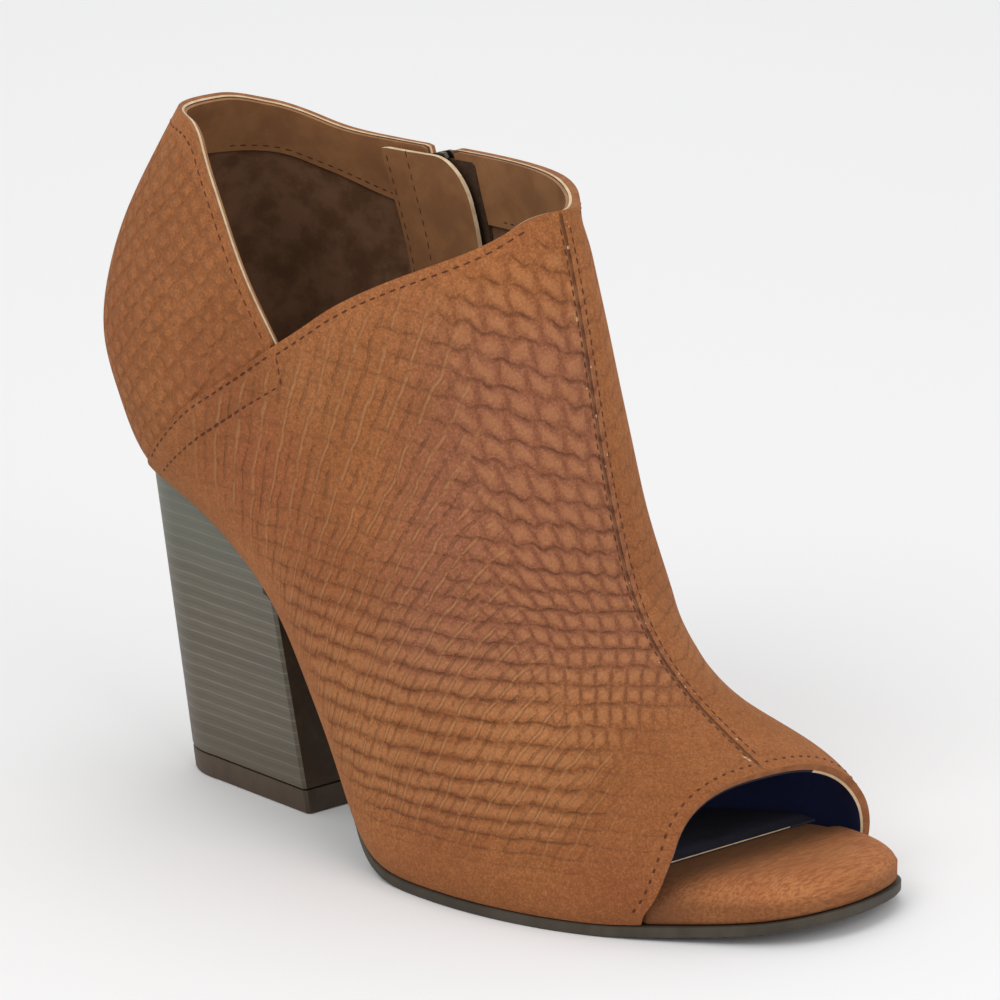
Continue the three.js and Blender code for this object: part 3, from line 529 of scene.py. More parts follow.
def embossed_suede():
    """Suede, split hide brushed to a nap and pressed with a snakeskin plate.

    The eye gets no shine, a cloudy tan that turns redder or darker in patches, and rows of low scales whose
    tops are lightened as a painted highlight. Scales are 3 to 6 mm, as in the photograph. The real nap is
    about
    0.2 mm, too fine to show, so it is drawn as tufts of 1.6 mm and grains of 0.6 mm."""
    made, t, shader, given = material("suede_tan_embossed", noises=(
        ("broad", 26.0, 3.0, 0.55), ("waver", 9.0, 2.0, 0.55), ("middle", 5.0, 4.0, 0.6),
        ("patches", 4.0, 3.0, 0.55), ("fray", 1.7, 1.0, 0.55), ("tufts", 1.6, 3.0, 0.7),
        ("nap", 0.6, 3.0, 0.78),
    ), values=(
        "row", "rows", "column", "columns", "scallop", "ridge", "ridges", "diamond_a", "diamond_b",
        "diamonds", "front", "red", "mauve", "dark", "pale",
    ))
    middle = given["middle"]
    stray = node(t, "Math", given["waver"], -0.5)

    # Rows made wavy and scalloped, and columns shifted from row to row.
    turn = node(t, "Math", given["column"], 2 * math.pi, operation="MULTIPLY")
    swing = node(t, "Math", given["scallop"], 0.09, operation="MULTIPLY")
    wave = node(t, "Math", turn, operation="COSINE")
    row = node(t, "Math", wave, swing, given["row"], operation="MULTIPLY_ADD")
    row = node(t, "Math", stray, 0.75, row, operation="MULTIPLY_ADD")
    row_number = node(t, "Math", row, operation="FLOOR")
    shift = node(t, "TexWhiteNoise", inputs={"W": row_number}, noise_dimensions="1D")
    column = node(t, "Math", shift, 0.9, given["column"], operation="MULTIPLY_ADD")
    column = node(t, "Math", node(t, "Math", middle, -0.5), 0.35, column, operation="MULTIPLY_ADD")

    # A gap rises from 0 in the middle of a scale to 1 on the line between two: 1 - 2 pingpong(count, 0.5).
    row_gap, column_gap = (
        node(t, "Math", node(t, "Math", count, 0.5, operation="PINGPONG"), -2.0, 1.0,
             operation="MULTIPLY_ADD")
        for count in (row, column)
    )

    # Distances, in parts of a pitch, from the nearest ridge of the side and line of the quarter's net.
    ridge, net_a, net_b = (
        node(t, "Math", node(t, "Math", stray, sway, given[count], operation="MULTIPLY_ADD"), 0.5,
             operation="PINGPONG")
        for count, sway in (("ridge", 0.5), ("diamond_a", 0.8), ("diamond_b", -0.8))
    )
    net = node(t, "Math", net_a, net_b, operation="MINIMUM")

    # The closed seam down the middle of the front, 0.5 mm to the outer side.
    y = node(t, "SeparateXYZ", given["place"]).outputs["Y"]
    off_seam = node(t, "Math", node(t, "Math", y, float(MIDDLE[1]) + 0.5), operation="ABSOLUTE")

    given["uneven"] = node(t, "MapRange", middle, 0.34, 0.58, 0.25, 1.0, interpolation_type="SMOOTHSTEP")
    given["nap_dark"] = node(t, "MapRange", given["nap"], 0.42, 0.62)
    given["nap_pale"] = node(t, "MapRange", given["nap"], 0.47, 0.36)
    add_marks(t, given, (
        ("tone", given["broad"], 0.35, 0.65),
        ("cloud", middle, 0.38, 0.68),
        ("tuft", given["tufts"], 0.44, 0.66),
        ("pressed", given["patches"], 0.3, 0.66),
        ("standing", middle, 0.3, 0.5),
        ("hollow", middle, 0.62, 0.46),
        ("row_line", row_gap, 0.78, 1.0, "rows", "pressed"),
        ("column_line", column_gap, 0.72, 1.0, "columns"),
        ("ridge_line", ridge, 0.36, 0.48, "ridges", "standing"),
        ("ridge_groove", ridge, 0.1, 0.0, "ridges", "hollow"),
        ("diamond", net, 0.3, 0.0, "diamonds"),
        ("pit", net, 0.13, 0.0, "diamonds", "uneven"),
        ("seam", off_seam, 0.65, 0.1, "front"),
        ("by_seam", off_seam, 2.4, 1.6, "front"),
        ("frayed", given["fray"], 0.7, 0.74, "by_seam"),
    ))

    # A scale's dome: (1 - row_gap^2.5) rows (1 - 0.6 column_gap^2.5 columns).
    along, across = (node(t, "Math", gap, 2.5, operation="POWER") for gap in (row_gap, column_gap))
    along = node(t, "Math", 1.0, along, operation="SUBTRACT")
    along = node(t, "Math", along, given["rows"], operation="MULTIPLY")
    across = node(t, "Math", across, given["columns"], operation="MULTIPLY")
    across = node(t, "Math", across, -0.6, 1.0, operation="MULTIPLY_ADD")
    given["dome"] = node(t, "Math", along, across, operation="MULTIPLY")
    # Painted highlight: the upper part of each scale's dome is lightened.
    add_marks(t, given, [("scale_top_highlight", given["dome"], 0.6, 1.0)])

    tone = painted(t, given, "#9d6137", (
        ("tone", 1.0, "#ab6c3f"), ("cloud", 0.5, "#935631"), ("red", 0.75, "#9a5336"),
        ("mauve", 0.8, "#99614d"), ("dark", 1.0, "#6f4023"), ("pale", 1.0, "#b87c4e"),
        ("tuft", 0.45, "#7c4a2a"), ("nap_dark", 0.5, "#6e3f20"), ("nap_pale", 0.18, "#c48b5e"),
        ("row_line", 0.54, "#6b3b26"), ("column_line", 0.3, "#74412a"), ("ridge_line", 0.34, "#bd8456"),
        ("ridge_groove", 0.22, "#70412a"), ("pit", 0.7, "#7f4a28"), ("seam", 0.7, "#4a2412"),
        ("frayed", 1.0, "#cca787"), ("scale_top_highlight", 0.26, "#bd8558"),
    ))
    relief = 0.0
    for mark, height in (
        ("dome", 0.7), ("row_line", -0.3), ("column_line", -0.15), ("ridge_line", 0.6),
        ("ridge_groove", -0.6), ("diamond", -0.75), ("seam", -0.9), ("middle", 0.5),
    ):
        relief = node(t, "Math", given[mark], height, relief, operation="MULTIPLY_ADD")
    emboss = node(t, "Bump", inputs={"Height": relief, "Strength": 0.9, "Distance": 0.0013})
    nap = node(t, "Bump", inputs={
        "Height": given["nap"], "Strength": 0.6, "Distance": 0.00022, "Normal": emboss,
    })
    wire(t, shader, {
        "Base Color": tone, "Roughness": 0.92, "Specular IOR Level": 0.18, "Sheen Weight": 0.22,
        "Sheen Roughness": 0.55, "Sheen Tint": "#d9a070", "Normal": nap,
    })
    return made


def plain(name, first, second, mottle, roughness, depth=0.0, grain=0.5, metal=0.0):
    """Two close colours in mottles and, with a depth, a grain. Sizes are in mm: one, or along x, y and z."""
    noises = [("mottle", mottle, 4.0, 0.6)]
    if depth:
        noises.append(("grain", grain, 3.0, 0.6))
    made, t, shader, given = material(name, noises)
    add_marks(t, given, [("second", given["mottle"], 0.35, 0.65)])
    tone = painted(t, given, first, [("second", 1.0, second)])
    wire(t, shader, {"Base Color": tone, "Roughness": roughness, "Metallic": metal})
    if not metal:
        wire(t, shader, {"Specular IOR Level": 0.3})
    if depth:
        bump = node(t, "Bump", inputs={"Height": given["grain"], "Strength": 0.6, "Distance": depth / 1000})
        wire(t, shader, {"Normal": bump})
    return made


def wrapping_suede():
    """Suede, glued over the footbed's padded toe and rubbed by the foot.

    The eye gets a redder, smoother nap with streaks across the foot, painted shade beside the sock's edge,
    and darker low down by the sole. The streaks are 0.6 mm wide, some three times the real ones, which
    wouldn't show."""
    made, t, shader, given = material("suede_footbed_wrap", noises=(
        ("streak", (0.6, 5.0, 0.6), 4.0, 0.65), ("broad", 14.0, 3.0, 0.55), ("nap", 0.5, 3.0, 0.7),
    ))
    place = node(t, "SeparateXYZ", given["place"])
    # Painted shade: the wrap darkens over the last 15 mm before the sock's edge.
    painted_shade_by_sock = SHADE_BY_SOCK - float(MIDDLE[0])
    given["nap_dark"] = node(t, "MapRange", given["nap"], 0.3, 0.72)
    add_marks(t, given, (
        ("tone", given["broad"], 0.3, 0.7), ("rubbed", given["streak"], 0.4, 0.62),
        ("painted_shade_by_sock", place.outputs["X"], painted_shade_by_sock + 15, painted_shade_by_sock), ("low", place.outputs["Z"], 12.5, 8.5),
    ))
    tone = painted(t, given, "#ad6e42", (
        ("tone", 1.0, "#b87a4c"), ("rubbed", 0.7, "#8a4b2c"), ("nap_dark", 0.3, "#6a3a20"),
        ("painted_shade_by_sock", 0.7, "#42281a"), ("low", 0.5, "#5f3a22"),
    ))
    grain = node(t, "Math", given["nap"], 0.4, operation="MULTIPLY")
    relief = node(t, "Math", given["streak"], 0.8, grain, operation="MULTIPLY_ADD")
    wire(t, shader, {
        "Base Color": tone, "Roughness": 0.88, "Specular IOR Level": 0.2, "Sheen Weight": 0.2,
        "Sheen Tint": "#d9a070",
        "Normal": node(t, "Bump", inputs={"Height": relief, "Strength": 0.5, "Distance": 0.0004}),
    })
    return made


def lining_fabric():
    """Brushed textile lining, dark brown.

    The eye gets a flat, cloudy dark that turns blue-black towards the toe. Its 0.4 mm grain stands for a
    weave about half that size, which wouldn't show."""
    made, t, shader, given = material("lining_dark_fabric", noises=(
        ("mottle", 8.0, 4.0, 0.6), ("weave", 0.4, 2.0, 0.6),
    ))
    x = node(t, "SeparateXYZ", given["place"]).outputs["X"]
    add_marks(t, given, (("cloud", given["mottle"], 0.35, 0.65), ("toe", x, -5.0, 55.0)))
    wire(t, shader, {
        "Base Color": painted(t, given, "#7d5c45", (("cloud", 1.0, "#644732"), ("toe", 1.0, "#3a4270"))),
        "Roughness": 0.95, "Specular IOR Level": 0.1,
        "Normal": node(t, "Bump", inputs={"Height": given["weave"], "Strength": 0.5, "Distance": 0.0002}),
    })
    return made


def stacked_heel():
    """Leatherboard lifts, stacked and stained grey-brown, then buffed.

    The eye gets level layers, each a shade of its own, with a thin paler joint every 3.1 mm, a long grain
    along the layers, and a slight gloss. Its upper part is lighter and greener, a painted highlight."""
    made, t, shader, given = material("heel_stacked_layers", noises=(
        ("wobble", (18.0, 18.0, 90.0), 2.0, 0.55), ("grain", (7.5, 7.5, 0.6), 4.0, 0.6),
    ))
    z = node(t, "SeparateXYZ", given["place"]).outputs["Z"]
    height = node(t, "Math", given["wobble"], 0.8, z, operation="MULTIPLY_ADD")
    level = node(t, "Math", height, LIFT, operation="DIVIDE")
    joint = node(t, "Math", level, 0.5, operation="PINGPONG")
    lift_number = node(t, "Math", level, operation="FLOOR")
    given["shade"] = node(t, "TexWhiteNoise", inputs={"W": lift_number}, noise_dimensions="1D")
    add_marks(t, given, (
        ("joint", joint, 0.1, 0.02), ("core", joint, 0.34, 0.5), ("fibre", given["grain"], 0.35, 0.7),
        # high is a painted highlight: the stack turns lighter and greener towards its top.
        ("high", z, 45.0, 80.0), ("low", z, 26.0, 8.0),
    ))
    tone = painted(t, given, "#5a5347", (
        ("shade", 1.0, "#645d50"), ("joint", 0.6, "#827b6b"), ("core", 0.45, "#4b443a"),
        ("fibre", 0.35, "#524c41"), ("high", 0.5, "#6b7468"), ("low", 0.45, "#574d3f"),
    ))
    relief = node(t, "Math", joint, 0.6, given["grain"], operation="MULTIPLY_ADD")
    wire(t, shader, {
        "Base Color": tone, "Roughness": 0.5, "Specular IOR Level": 0.35,
        "Normal": node(t, "Bump", inputs={"Height": relief, "Strength": 0.35, "Distance": 0.0003}),
    })
    return made


# Where the painted shade on the wrap beside the sock is deepest, and the height of one lift of the heel (mm).
SHADE_BY_SOCK = 191.0
LIFT = 3.1

SUEDE = embossed_suede()
WRAP = wrapping_suede()
LINING = lining_fabric()
HEEL = stacked_heel()

# Suede, cut: loose fibres give a matt edge, a little greyer than the brushed face, and it is darkened as
# painted shade where the edge turns inward.
SUEDE_EDGE = plain("suede_cut_edge_painted_shade", "#9d6742", "#8a5735", 3.0, 0.9)

# Lining textile, folded at the toe opening: a nearly black line.
TOE_RIM = plain("lining_dark_rim", "#201d26", "#29242b", 3.0, 0.9)

# Leather, cut and left raw: a pale cream line beside the dark lining.
RAW_EDGE = plain("raw_leather_edge_cream", "#d9c3a3", "#c8ad88", 3.0, 0.85)

# Grain leather, smooth and waxed: a soft gloss over pores of 0.6 mm, drawn twice their real size.
FACING = plain("facing_smooth_leather", "#a0714a", "#8d6140", 12.0, 0.55, 0.12, 0.6)

# Polyester thread, twisted and dyed: short dull red-brown strokes.
THREAD = plain("thread_red_brown", "#4c2412", "#5d3018", 2.0, 0.7)

# Coated textile sock: flat blue-black with a faint grain.
SOCK = plain("sock_dark_lining", "#26262f", "#302f3c", 9.0, 0.9, 0.1, 0.5)

# Rubber, moulded and scoured: matt dark brown with upright scouring marks.
OUTSOLE_EDGE = plain("outsole_dark_rubber", "#3c352d", "#474036", (10.0, 10.0, 25.0), 0.6, 0.15,
                     (0.8, 0.8, 2.0))

# Leatherboard on the heel's breast, facing forward under the arch: smooth, with no layers showing, and darker
# than the sides as painted shade.
HEEL_BREAST = plain("heel_breast_painted_shade", "#423021", "#4e3b2a", 8.0, 0.5)

# Hard rubber, moulded: the tip's dark brown with a slight gloss.
HEEL_TIP = plain("heel_tip_rubber", "#473a2e", "#524336", (9.0, 9.0, 30.0), 0.55, 0.1, (0.6, 0.6, 2.0))

# Polyester tape, woven: matt brown, its 0.5 mm ribs a little coarser than real.
TAPE = plain("zip_tape_woven", "#3f2c1f", "#4b3526", 1.2, 0.9, 0.2, 0.5)

# Brass, plated dark and tumbled: dull metal with soft highlights.
METAL = plain("metal_dark_antique", "#6b6257", "#736a5e", 2.0, 0.38, 0.05, 0.4, metal=1.0)

# Upper

ridge_rows = np.linspace(0, LAST_END, 400)
_kx, _kz, ridge_xs, ridge_zs, _h = section(ridge_rows)
order = np.argsort(ridge_zs)
ridge_zs, ridge_xs = ridge_zs[order], ridge_xs[order]

# Patches, in side view on the outer side: x, z, radius, red, dark, pale.
PATCHES = np.array([
    (62, 92, 18, 0.9, 0.1, 0.0), (88, 62, 20, 0.6, 0.1, 0.0), (140, 22, 16, 0.5, 0.2, 0.0),
    (186, 14, 12, 0.7, 0.15, 0.0), (128, 70, 22, 0.5, 0.12, 0.0), (22, 140, 16, 0.3, 0.0, 0.25),
    (5, 120, 12, 0.5, 0.05, 0.0), (45, 112, 14, 0.5, 0.05, 0.1), (100, 140, 18, 0.1, 0.0, 0.3),
    (118, 118, 14, 0.2, 0.15, 0.0), (158, 46, 12, 0.1, 0.0, 0.35), (78, 118, 12, 0.0, 0.0, 0.3),
])

# The emboss's pitches low down and what they gain further up, and its net's meshes, long and high (mm).
ROW_PITCH, ROW_GAIN = 3.1, 3.2
COLUMN_PITCH, COLUMN_GAIN = 3.3, 3.0
RIDGE_PITCH, RIDGE_GAIN = 6.2, 2.0
NET_LONG, NET_HIGH = 7.4, 6.6


def upper_values(p):
    """Pattern and tint on the upper, by name.

    row counts rows of scales upwards: level = z - 45 tilt (1 - e^(-away/45)), where away is the distance from
    the front seam, so near it the rows slope by 9 degrees one way low down and by 23 degrees the other way at
    the top. column counts scales away from the seam, and low down back from the toe. ridge counts the side's
    leaning ridges, and diamond_a and diamond_b the two families of lines in the quarter's net. rows, columns,
    ridges, diamonds, scallop and front are how far each shows, 0 to 1. Rows, columns and ridges show less
    near the sole, the toe opening and the collar, and half on the inner side. red, mauve, dark and pale are
    tints, 0 to 1."""
    x, y, z = p.T
    seam_x = np.interp(z, ridge_zs, ridge_xs)
    away = np.hypot(seam_x - x, y)
    tilt = 0.34 * ramp(z, 18, 75) + 0.24 * ramp(z, 70, 120) - 0.16
    level = z - tilt * 45 * (1 - np.exp(-away / 45))
    heights = np.linspace(-60, 200, 1300)
    pitch = ROW_PITCH + ROW_GAIN * ramp(heights, 35, 120)
    rows = np.interp(level, heights, np.cumsum(1 / pitch) * (heights[1] - heights[0]))
    column_pitch = COLUMN_PITCH + COLUMN_GAIN * ramp(z, 35, 120)
    ahead = 116 - 0.72 * x - 0.69 * y
    columns = away + (ahead - away) * (1 - ramp(z, 50, 80))
    ridge_pitch = RIDGE_PITCH + RIDGE_GAIN * ramp(z, 45, 125)
    inner = ramp(y, -1, 3)
    above_sole = z - feather(x)
    to_collar = collar_height(x, y) - z
    fade = ramp(above_sole, 5, 24) * (1 - 0.7 * ramp(x, 168, 188)) * (0.3 + 0.7 * ramp(to_collar, 2, 14))
    side = ramp(away, 26, 50)
    vamp = ramp(in_vamp(p), 0, 6)
    fade = fade * (1 - 0.5 * inner)
    from_patch = np.hypot(x[:, None] - PATCHES[:, 0], z[:, None] - PATCHES[:, 1])
    reach = np.exp(-(from_patch / PATCHES[:, 2]) ** 2)
    red, dark, pale = (np.clip(reach @ PATCHES[:, i], 0, 1) for i in (3, 4, 5))
    low_dark = 0.25 * (1 - ramp(above_sole, 0, 9)) + 0.22 * ramp(x, 120, 175)
    low_dark += 0.28 * vamp * np.exp(-((lap_edge(x) - z - 8) / 12) ** 2) * (1 - ramp(x, V_X, V_X + 14))
    shown = vamp * fade
    return {
        "row": rows,
        "rows": shown * (1 - 0.55 * side * ramp(z, 50, 90)),
        "scallop": ramp(z, 60, 85) * (1 - side),
        "column": columns / column_pitch,
        "columns": shown * (1 - side),
        "ridge": (x - 74 - 0.24 * (z - 100)) / ridge_pitch,
        "ridges": shown * ramp(away, 22, 40) * ramp(x, 20, 50),
        "diamond_a": x / NET_LONG + z / NET_HIGH,
        "diamond_b": x / NET_LONG - z / NET_HIGH,
        "diamonds": (1 - vamp) * ramp(to_collar, 3, 9),
        "front": ramp(x, 105, 118) * ramp(to_collar, 0, 1.5) * ramp(opening_x(x, y, z), 0.5, 2.5),
        "mauve": ramp(x, 95, 128) * ramp(z, 42, 62) * (1 - inner) * (1 - ramp(z, 128, 150)),
        "red": red,
        "dark": np.clip(dark + low_dark, 0, 1),
        "pale": pale * (0.5 + 0.5 * fade),
    }


# Creases of the vamp and shaft in side view: x and z at both ends, width, depth (minus is a trough), side.
CREASES = np.array([
    (150, 62, 118, 44, 4.0, -0.45, -1), (156, 54, 126, 34, 3.5, 0.35, -1), (162, 47, 140, 28, 3.0, -0.3, -1),
    (138, 96, 104, 84, 5.0, -0.35, -1), (142, 88, 112, 70, 5.0, 0.3, -1), (60, 118, 40, 92, 4.0, -0.25, -1),
    (150, 62, 122, 46, 4.0, -0.4, 1), (156, 54, 130, 36, 3.5, 0.3, 1), (28, 112, 12, 98, 5.0, -0.3, 1),
    (98, 128, 84, 60, 6.0, 0.3, -1), (110, 118, 96, 52, 6.0, -0.3, -1),
])


def creases(p):
    """Soft troughs and ridges: a bell across each line of the table, fading out at its ends."""
    x, y, z = p.T
    start, end = CREASES[:, 0:2], CREASES[:, 2:4]
    way = end - start
    dx, dz = x[:, None] - start[:, 0], z[:, None] - start[:, 1]
    t = (dx * way[:, 0] + dz * way[:, 1]) / np.sum(way**2, axis=1)
    off = (dx * way[:, 1] - dz * way[:, 0]) / np.linalg.norm(way, axis=1)
    bell = np.exp(-(off / CREASES[:, 4]) ** 2) * ramp(t, -0.25, 0.25) * (1 - ramp(t, 0.75, 1.25))
    on_side = ramp(y[:, None] * CREASES[:, 6], 0, 6)
    return (bell * on_side) @ CREASES[:, 5]


# Where suede and lining meet inside the wall, how far skins stay apart, and the collar facing's depth (mm).
MID_WALL = -(LAP + 1.1)
GAP = 0.04
FACING_DEPTH = 16
INNER_FACE = -(LAP + WALL)

shell("upper_vamp", lambda p: np.minimum.reduce([in_upper(p), off_zip(p), in_vamp(p) - GAP]), 0.0,
      MID_WALL + GAP, [SUEDE, SUEDE_EDGE], shape=creases, values=upper_values, slot="upper_suede",
      replaces=["upper"])
shell("upper_quarter", lambda p: np.minimum.reduce([in_upper(p), off_zip(p), -in_vamp(p) - GAP]), -LAP,
      MID_WALL + GAP, [SUEDE, SUEDE_EDGE], shape=creases, values=upper_values, slot="upper_suede")
shell("upper_lining", lambda p: np.minimum(in_upper(p), off_zip(p)), MID_WALL, INNER_FACE,
      [LINING, RAW_EDGE, TOE_RIM], slot="upper_suede")

facing_low = curve(sized([
    (-0.15, 0.922), (0.0, 0.919), (0.06, 0.897), (0.13, 0.868), (0.2, 0.85), (0.3, 0.843), (0.45, 0.843),
    (0.592, 0.83), (0.65, 0.82),
]))


def facing_region(p):
    """A band under the collar beside the zip's slot: of even depth outside, down to its own line inside."""
    x, y, z = p.T
    under = collar_height(x, y) - FACING_DEPTH
    low = under + (facing_low(x) - under) * ramp(y, -3, 3)
    return np.minimum.reduce([z - low, collar_height(x, y) - z - 0.3, off_zip(p, 5.2)])


FACING_FAR = INNER_FACE - 0.85
shell("collar_facing", facing_region, INNER_FACE - 0.03, FACING_FAR, [FACING, FACING], slot="guard_leather")

# Zip

# The zip's sizes, as in the CAD source, and how far inside the skin each layer begins (mm).
ZIP_UNDER = INNER_FACE - CLEARANCE
TAPE_THICK, TAPE_HALF, CHAIN_HALF, TAPE_END, TAPE_DROP = 0.8, 13.0, 2.4, ZIP_LENGTH + 9.0, 2.2
SLIDER_DROP, SLIDER_LENGTH = 6.0, 9.0
GUARD_NEAR = ZIP_UNDER - TAPE_THICK - CLEARANCE
GUARD_STAND = GUARD_NEAR - 1.1 - 2 * CLEARANCE
GUARD_FAR = GUARD_STAND - 1.2
GUARD_BACK, GUARD_FRONT, GUARD_DROP, GUARD_CORNER = -18.0, 12.0, 1.1, 11


def zip_band(p, low, high, drop):
    """Above 0 in a strip along the zip between two distances across it, from a drop below the collar."""
    x, y, z = p.T
    along, across = zip_place(x, z)
    return np.minimum.reduce([across - low, high - across, TAPE_END - along, inner_edge(x) - drop - z, y - 1])


shell("tape_front", lambda p: zip_band(p, CHAIN_HALF + CLEARANCE, TAPE_HALF, TAPE_DROP), ZIP_UNDER,
      ZIP_UNDER - TAPE_THICK, [TAPE, TAPE], slot="zip_tape", replaces=["zip_tape_front"])
shell("tape_rear", lambda p: zip_band(p, -TAPE_HALF, -CHAIN_HALF - CLEARANCE, TAPE_DROP), ZIP_UNDER,
      ZIP_UNDER - TAPE_THICK, [TAPE, TAPE], slot="zip_tape", replaces=["zip_tape_rear"])


def guard_region(p):
    """The guard flap behind the zip, with its free front top corner rounded off."""
    x, _y, z = p.T
    _along, across = zip_place(x, z)
    from_top = inner_edge(x) - GUARD_DROP - z
    ahead = np.maximum(across - (GUARD_FRONT - GUARD_CORNER), 0)
    corner = GUARD_CORNER - np.hypot(ahead, np.maximum(GUARD_CORNER - from_top, 0))
    return np.minimum(zip_band(p, GUARD_BACK, GUARD_FRONT, GUARD_DROP), corner)


shell("guard_flap", guard_region, GUARD_STAND, GUARD_FAR, [FACING, RAW_EDGE], slot="guard_leather",
      replaces=["zip_guard"])
shell("guard_seam_strip", lambda p: zip_band(p, GUARD_BACK, -5.2, 1.6), GUARD_NEAR, GUARD_STAND + 0.02,
      [FACING, FACING], slot="guard_leather")


def framed(x, z, side, distance, along_x, along_z):
    """Point and three directions on the skin at side view points.

    The directions are along the given one, across it, and out of the skin."""
    s, turn = locate(x, z)
    point, out = on_skin(s, turn, side, distance)
    along = np.stack([along_x, np.zeros_like(along_x), along_z], axis=-1)
    along = along - np.sum(along * out, axis=-1, keepdims=True) * out
    along /= np.linalg.norm(along, axis=-1, keepdims=True)
    return point, along, np.cross(out, along), out


def copies(points, faces, centre, along, across, out):
    """A small form repeated: its points taken in each place's own three directions."""
    placed = (centre[:, None] + points[None, :, 0:1] * along[:, None]
              + points[None, :, 1:2] * across[:, None] + points[None, :, 2:3] * out[:, None])
    shift = np.arange(len(centre))[:, None, None] * len(points)
    return placed.reshape(-1, 3), (faces[None] + shift).reshape(-1, 3)


# One tooth: a block with a narrower head, (along, across, out) in mm.
TOOTH, TOOTH_FACES = lofted([
    [(-0.62, 0.0, -0.7), (0.62, 0.0, -0.7), (0.62, 0.0, 0.7), (-0.62, 0.0, 0.7)],
    [(-0.62, 1.5, -0.7), (0.62, 1.5, -0.7), (0.62, 1.5, 0.7), (-0.62, 1.5, 0.7)],
    [(-0.4, 2.3, -0.45), (0.4, 2.3, -0.45), (0.4, 2.3, 0.45), (-0.4, 2.3, 0.45)],
])

# Teeth stand 1.8 mm apart on each tape, rooted 2.3 mm from the zip's middle line, and point towards it.
# Known fault: toward mirrors the frame of one row, so the faces of that row are wound inward.
TOOTH_PITCH, TOOTH_REACH = 1.8, 2.3
tooth_points, tooth_faces = [], []
for way in (-1.0, 1.0):
    first = SLIDER_DROP + SLIDER_LENGTH + 1.2 + (TOOTH_PITCH / 2 if way > 0 else 0)
    steps = np.arange(first, ZIP_LENGTH - 0.6, TOOTH_PITCH)
    tx, tz = zip_point(steps, way * TOOTH_REACH)
    centre, along, across, out = framed(tx, tz, 1, ZIP_UNDER - TAPE_THICK / 2, np.full_like(tx, ZIP_DOWN[0]),
                                        np.full_like(tx, ZIP_DOWN[1]))
    toward = across * np.sign(np.sum(across * (-way, 0, 0), axis=1, keepdims=True))
    pts, fcs = copies(TOOTH, TOOTH_FACES, centre, along, toward, out)
    tooth_faces.append(fcs + sum(len(q) for q in tooth_points))
    tooth_points.append(pts)
make("zip_teeth", np.concatenate(tooth_points), np.concatenate(tooth_faces), [METAL], slot="zip_metal",
     replaces=["zip_chain"], sharp=30)

for name in ("zip_slider", "zip_pull"):
    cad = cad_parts[name]
    cad.data.materials.clear()
    cad.data.materials.append(METAL)
    softened = cad.modifiers.new("softened_edges", "BEVEL")
    softened.width = 0.00015
    softened.segments = 2
    softened.limit_method = "ANGLE"
    softened.angle_limit = math.radians(35)

# Stitches

# A stitch: a spindle along the seam, 1 long and of radius 1 before sizing.
spindle = np.array([(-0.5, 0.0), (-0.42, 0.62), (-0.2, 0.95), (0.2, 0.95), (0.42, 0.62), (0.5, 0.0)])
turns6 = np.arange(6) * math.pi / 3
STITCH = np.stack([
    np.repeat(spindle[:, 0], 6),
    (spindle[:, 1:2] * np.cos(turns6)).ravel(),
    (spindle[:, 1:2] * np.sin(turns6)).ravel(),
], axis=1)
r, i = np.meshgrid(np.arange(5), np.arange(6), indexing="ij")
a, b = (r * 6 + i).ravel(), (r * 6 + (i + 1) % 6).ravel()
STITCH_FACES = np.concatenate([np.stack([a, a + 6, b], axis=1), np.stack([b, a + 6, b + 6], axis=1)])
stitch_points, stitch_faces = [], []


def stitch(path, normals, pitch=3.0, length=2.0, radius=0.33):
    """Stitches at even steps along a dense path on a surface, lying along it and sunk by 0.1 mm."""
    step = np.linalg.norm(np.diff(path, axis=0), axis=1)
    total = np.concatenate([[0], np.cumsum(step)])
    places = np.arange(pitch / 2, total[-1], pitch)

    def at(q, values):
        return np.stack([np.interp(q, total, values[:, k]) for k in range(3)], axis=1)

    centre, out = at(places, path), at(places, normals)
    along = at(places + 1, path) - at(places - 1, path)
    along /= np.linalg.norm(along, axis=1, keepdims=True)
    out -= np.sum(out * along, axis=1, keepdims=True) * along
    out /= np.linalg.norm(out, axis=1, keepdims=True)
    across = np.cross(out, along)
    sized_points = STITCH * (length, radius, radius * 0.8)
    pts, fcs = copies(sized_points, STITCH_FACES, centre - out * 0.1, along, across, out)
    stitch_faces.append(fcs + sum(len(q) for q in stitch_points))
    stitch_points.append(pts)


def stitch_side(x, z, side, distance, **options):
    """A row of stitches along side view points on one side of the skin, or of its lining, 1 mm or more in."""
    s, turn = locate(x, z)
    path, out = on_skin(s, turn, side, distance)
    if distance < -1:
        out = -out
    stitch(path, out, **options)


# The collar's edge outside and inside, then the lap's two rows and the tack between them.
back = np.linspace(-6, V_X - 3.4, 160)
stitch_side(back, collar_height(back, -50.0) - 4.0, -1, -LAP)
front = np.linspace(V_X + 1, 128, 160)
stitch_side(front, outer_front(front) - 2.7, -1, 0.0)
inner_back = np.linspace(-4, ZIP_FROM[0] - 8, 120)
stitch_side(inner_back, inner_edge(inner_back) - 2.9, 1, -LAP)
inner_front = np.linspace(ZIP_FROM[0] + 7, 128, 120)
stitch_side(inner_front, inner_edge(inner_front) - 2.9, 1, 0.0)
lap_x = np.linspace(17, V_X - 1, 140)
stitch_side(lap_x, lap_edge(lap_x) - 1.8, -1, 0.0)
lap_low = np.linspace(21, V_X + 3, 140)
stitch_side(lap_low, np.interp(lap_low, [21, 40, 58, 70, 73], [84, 97, 108, 115, 117]), -1, 0.0)
tack = np.linspace(0, 1, 20)
stitch_side(V_X + 1.5 + 2.2 * tack, V_Z - 2 - 7 * tack, -1, 0.0, pitch=2.6)

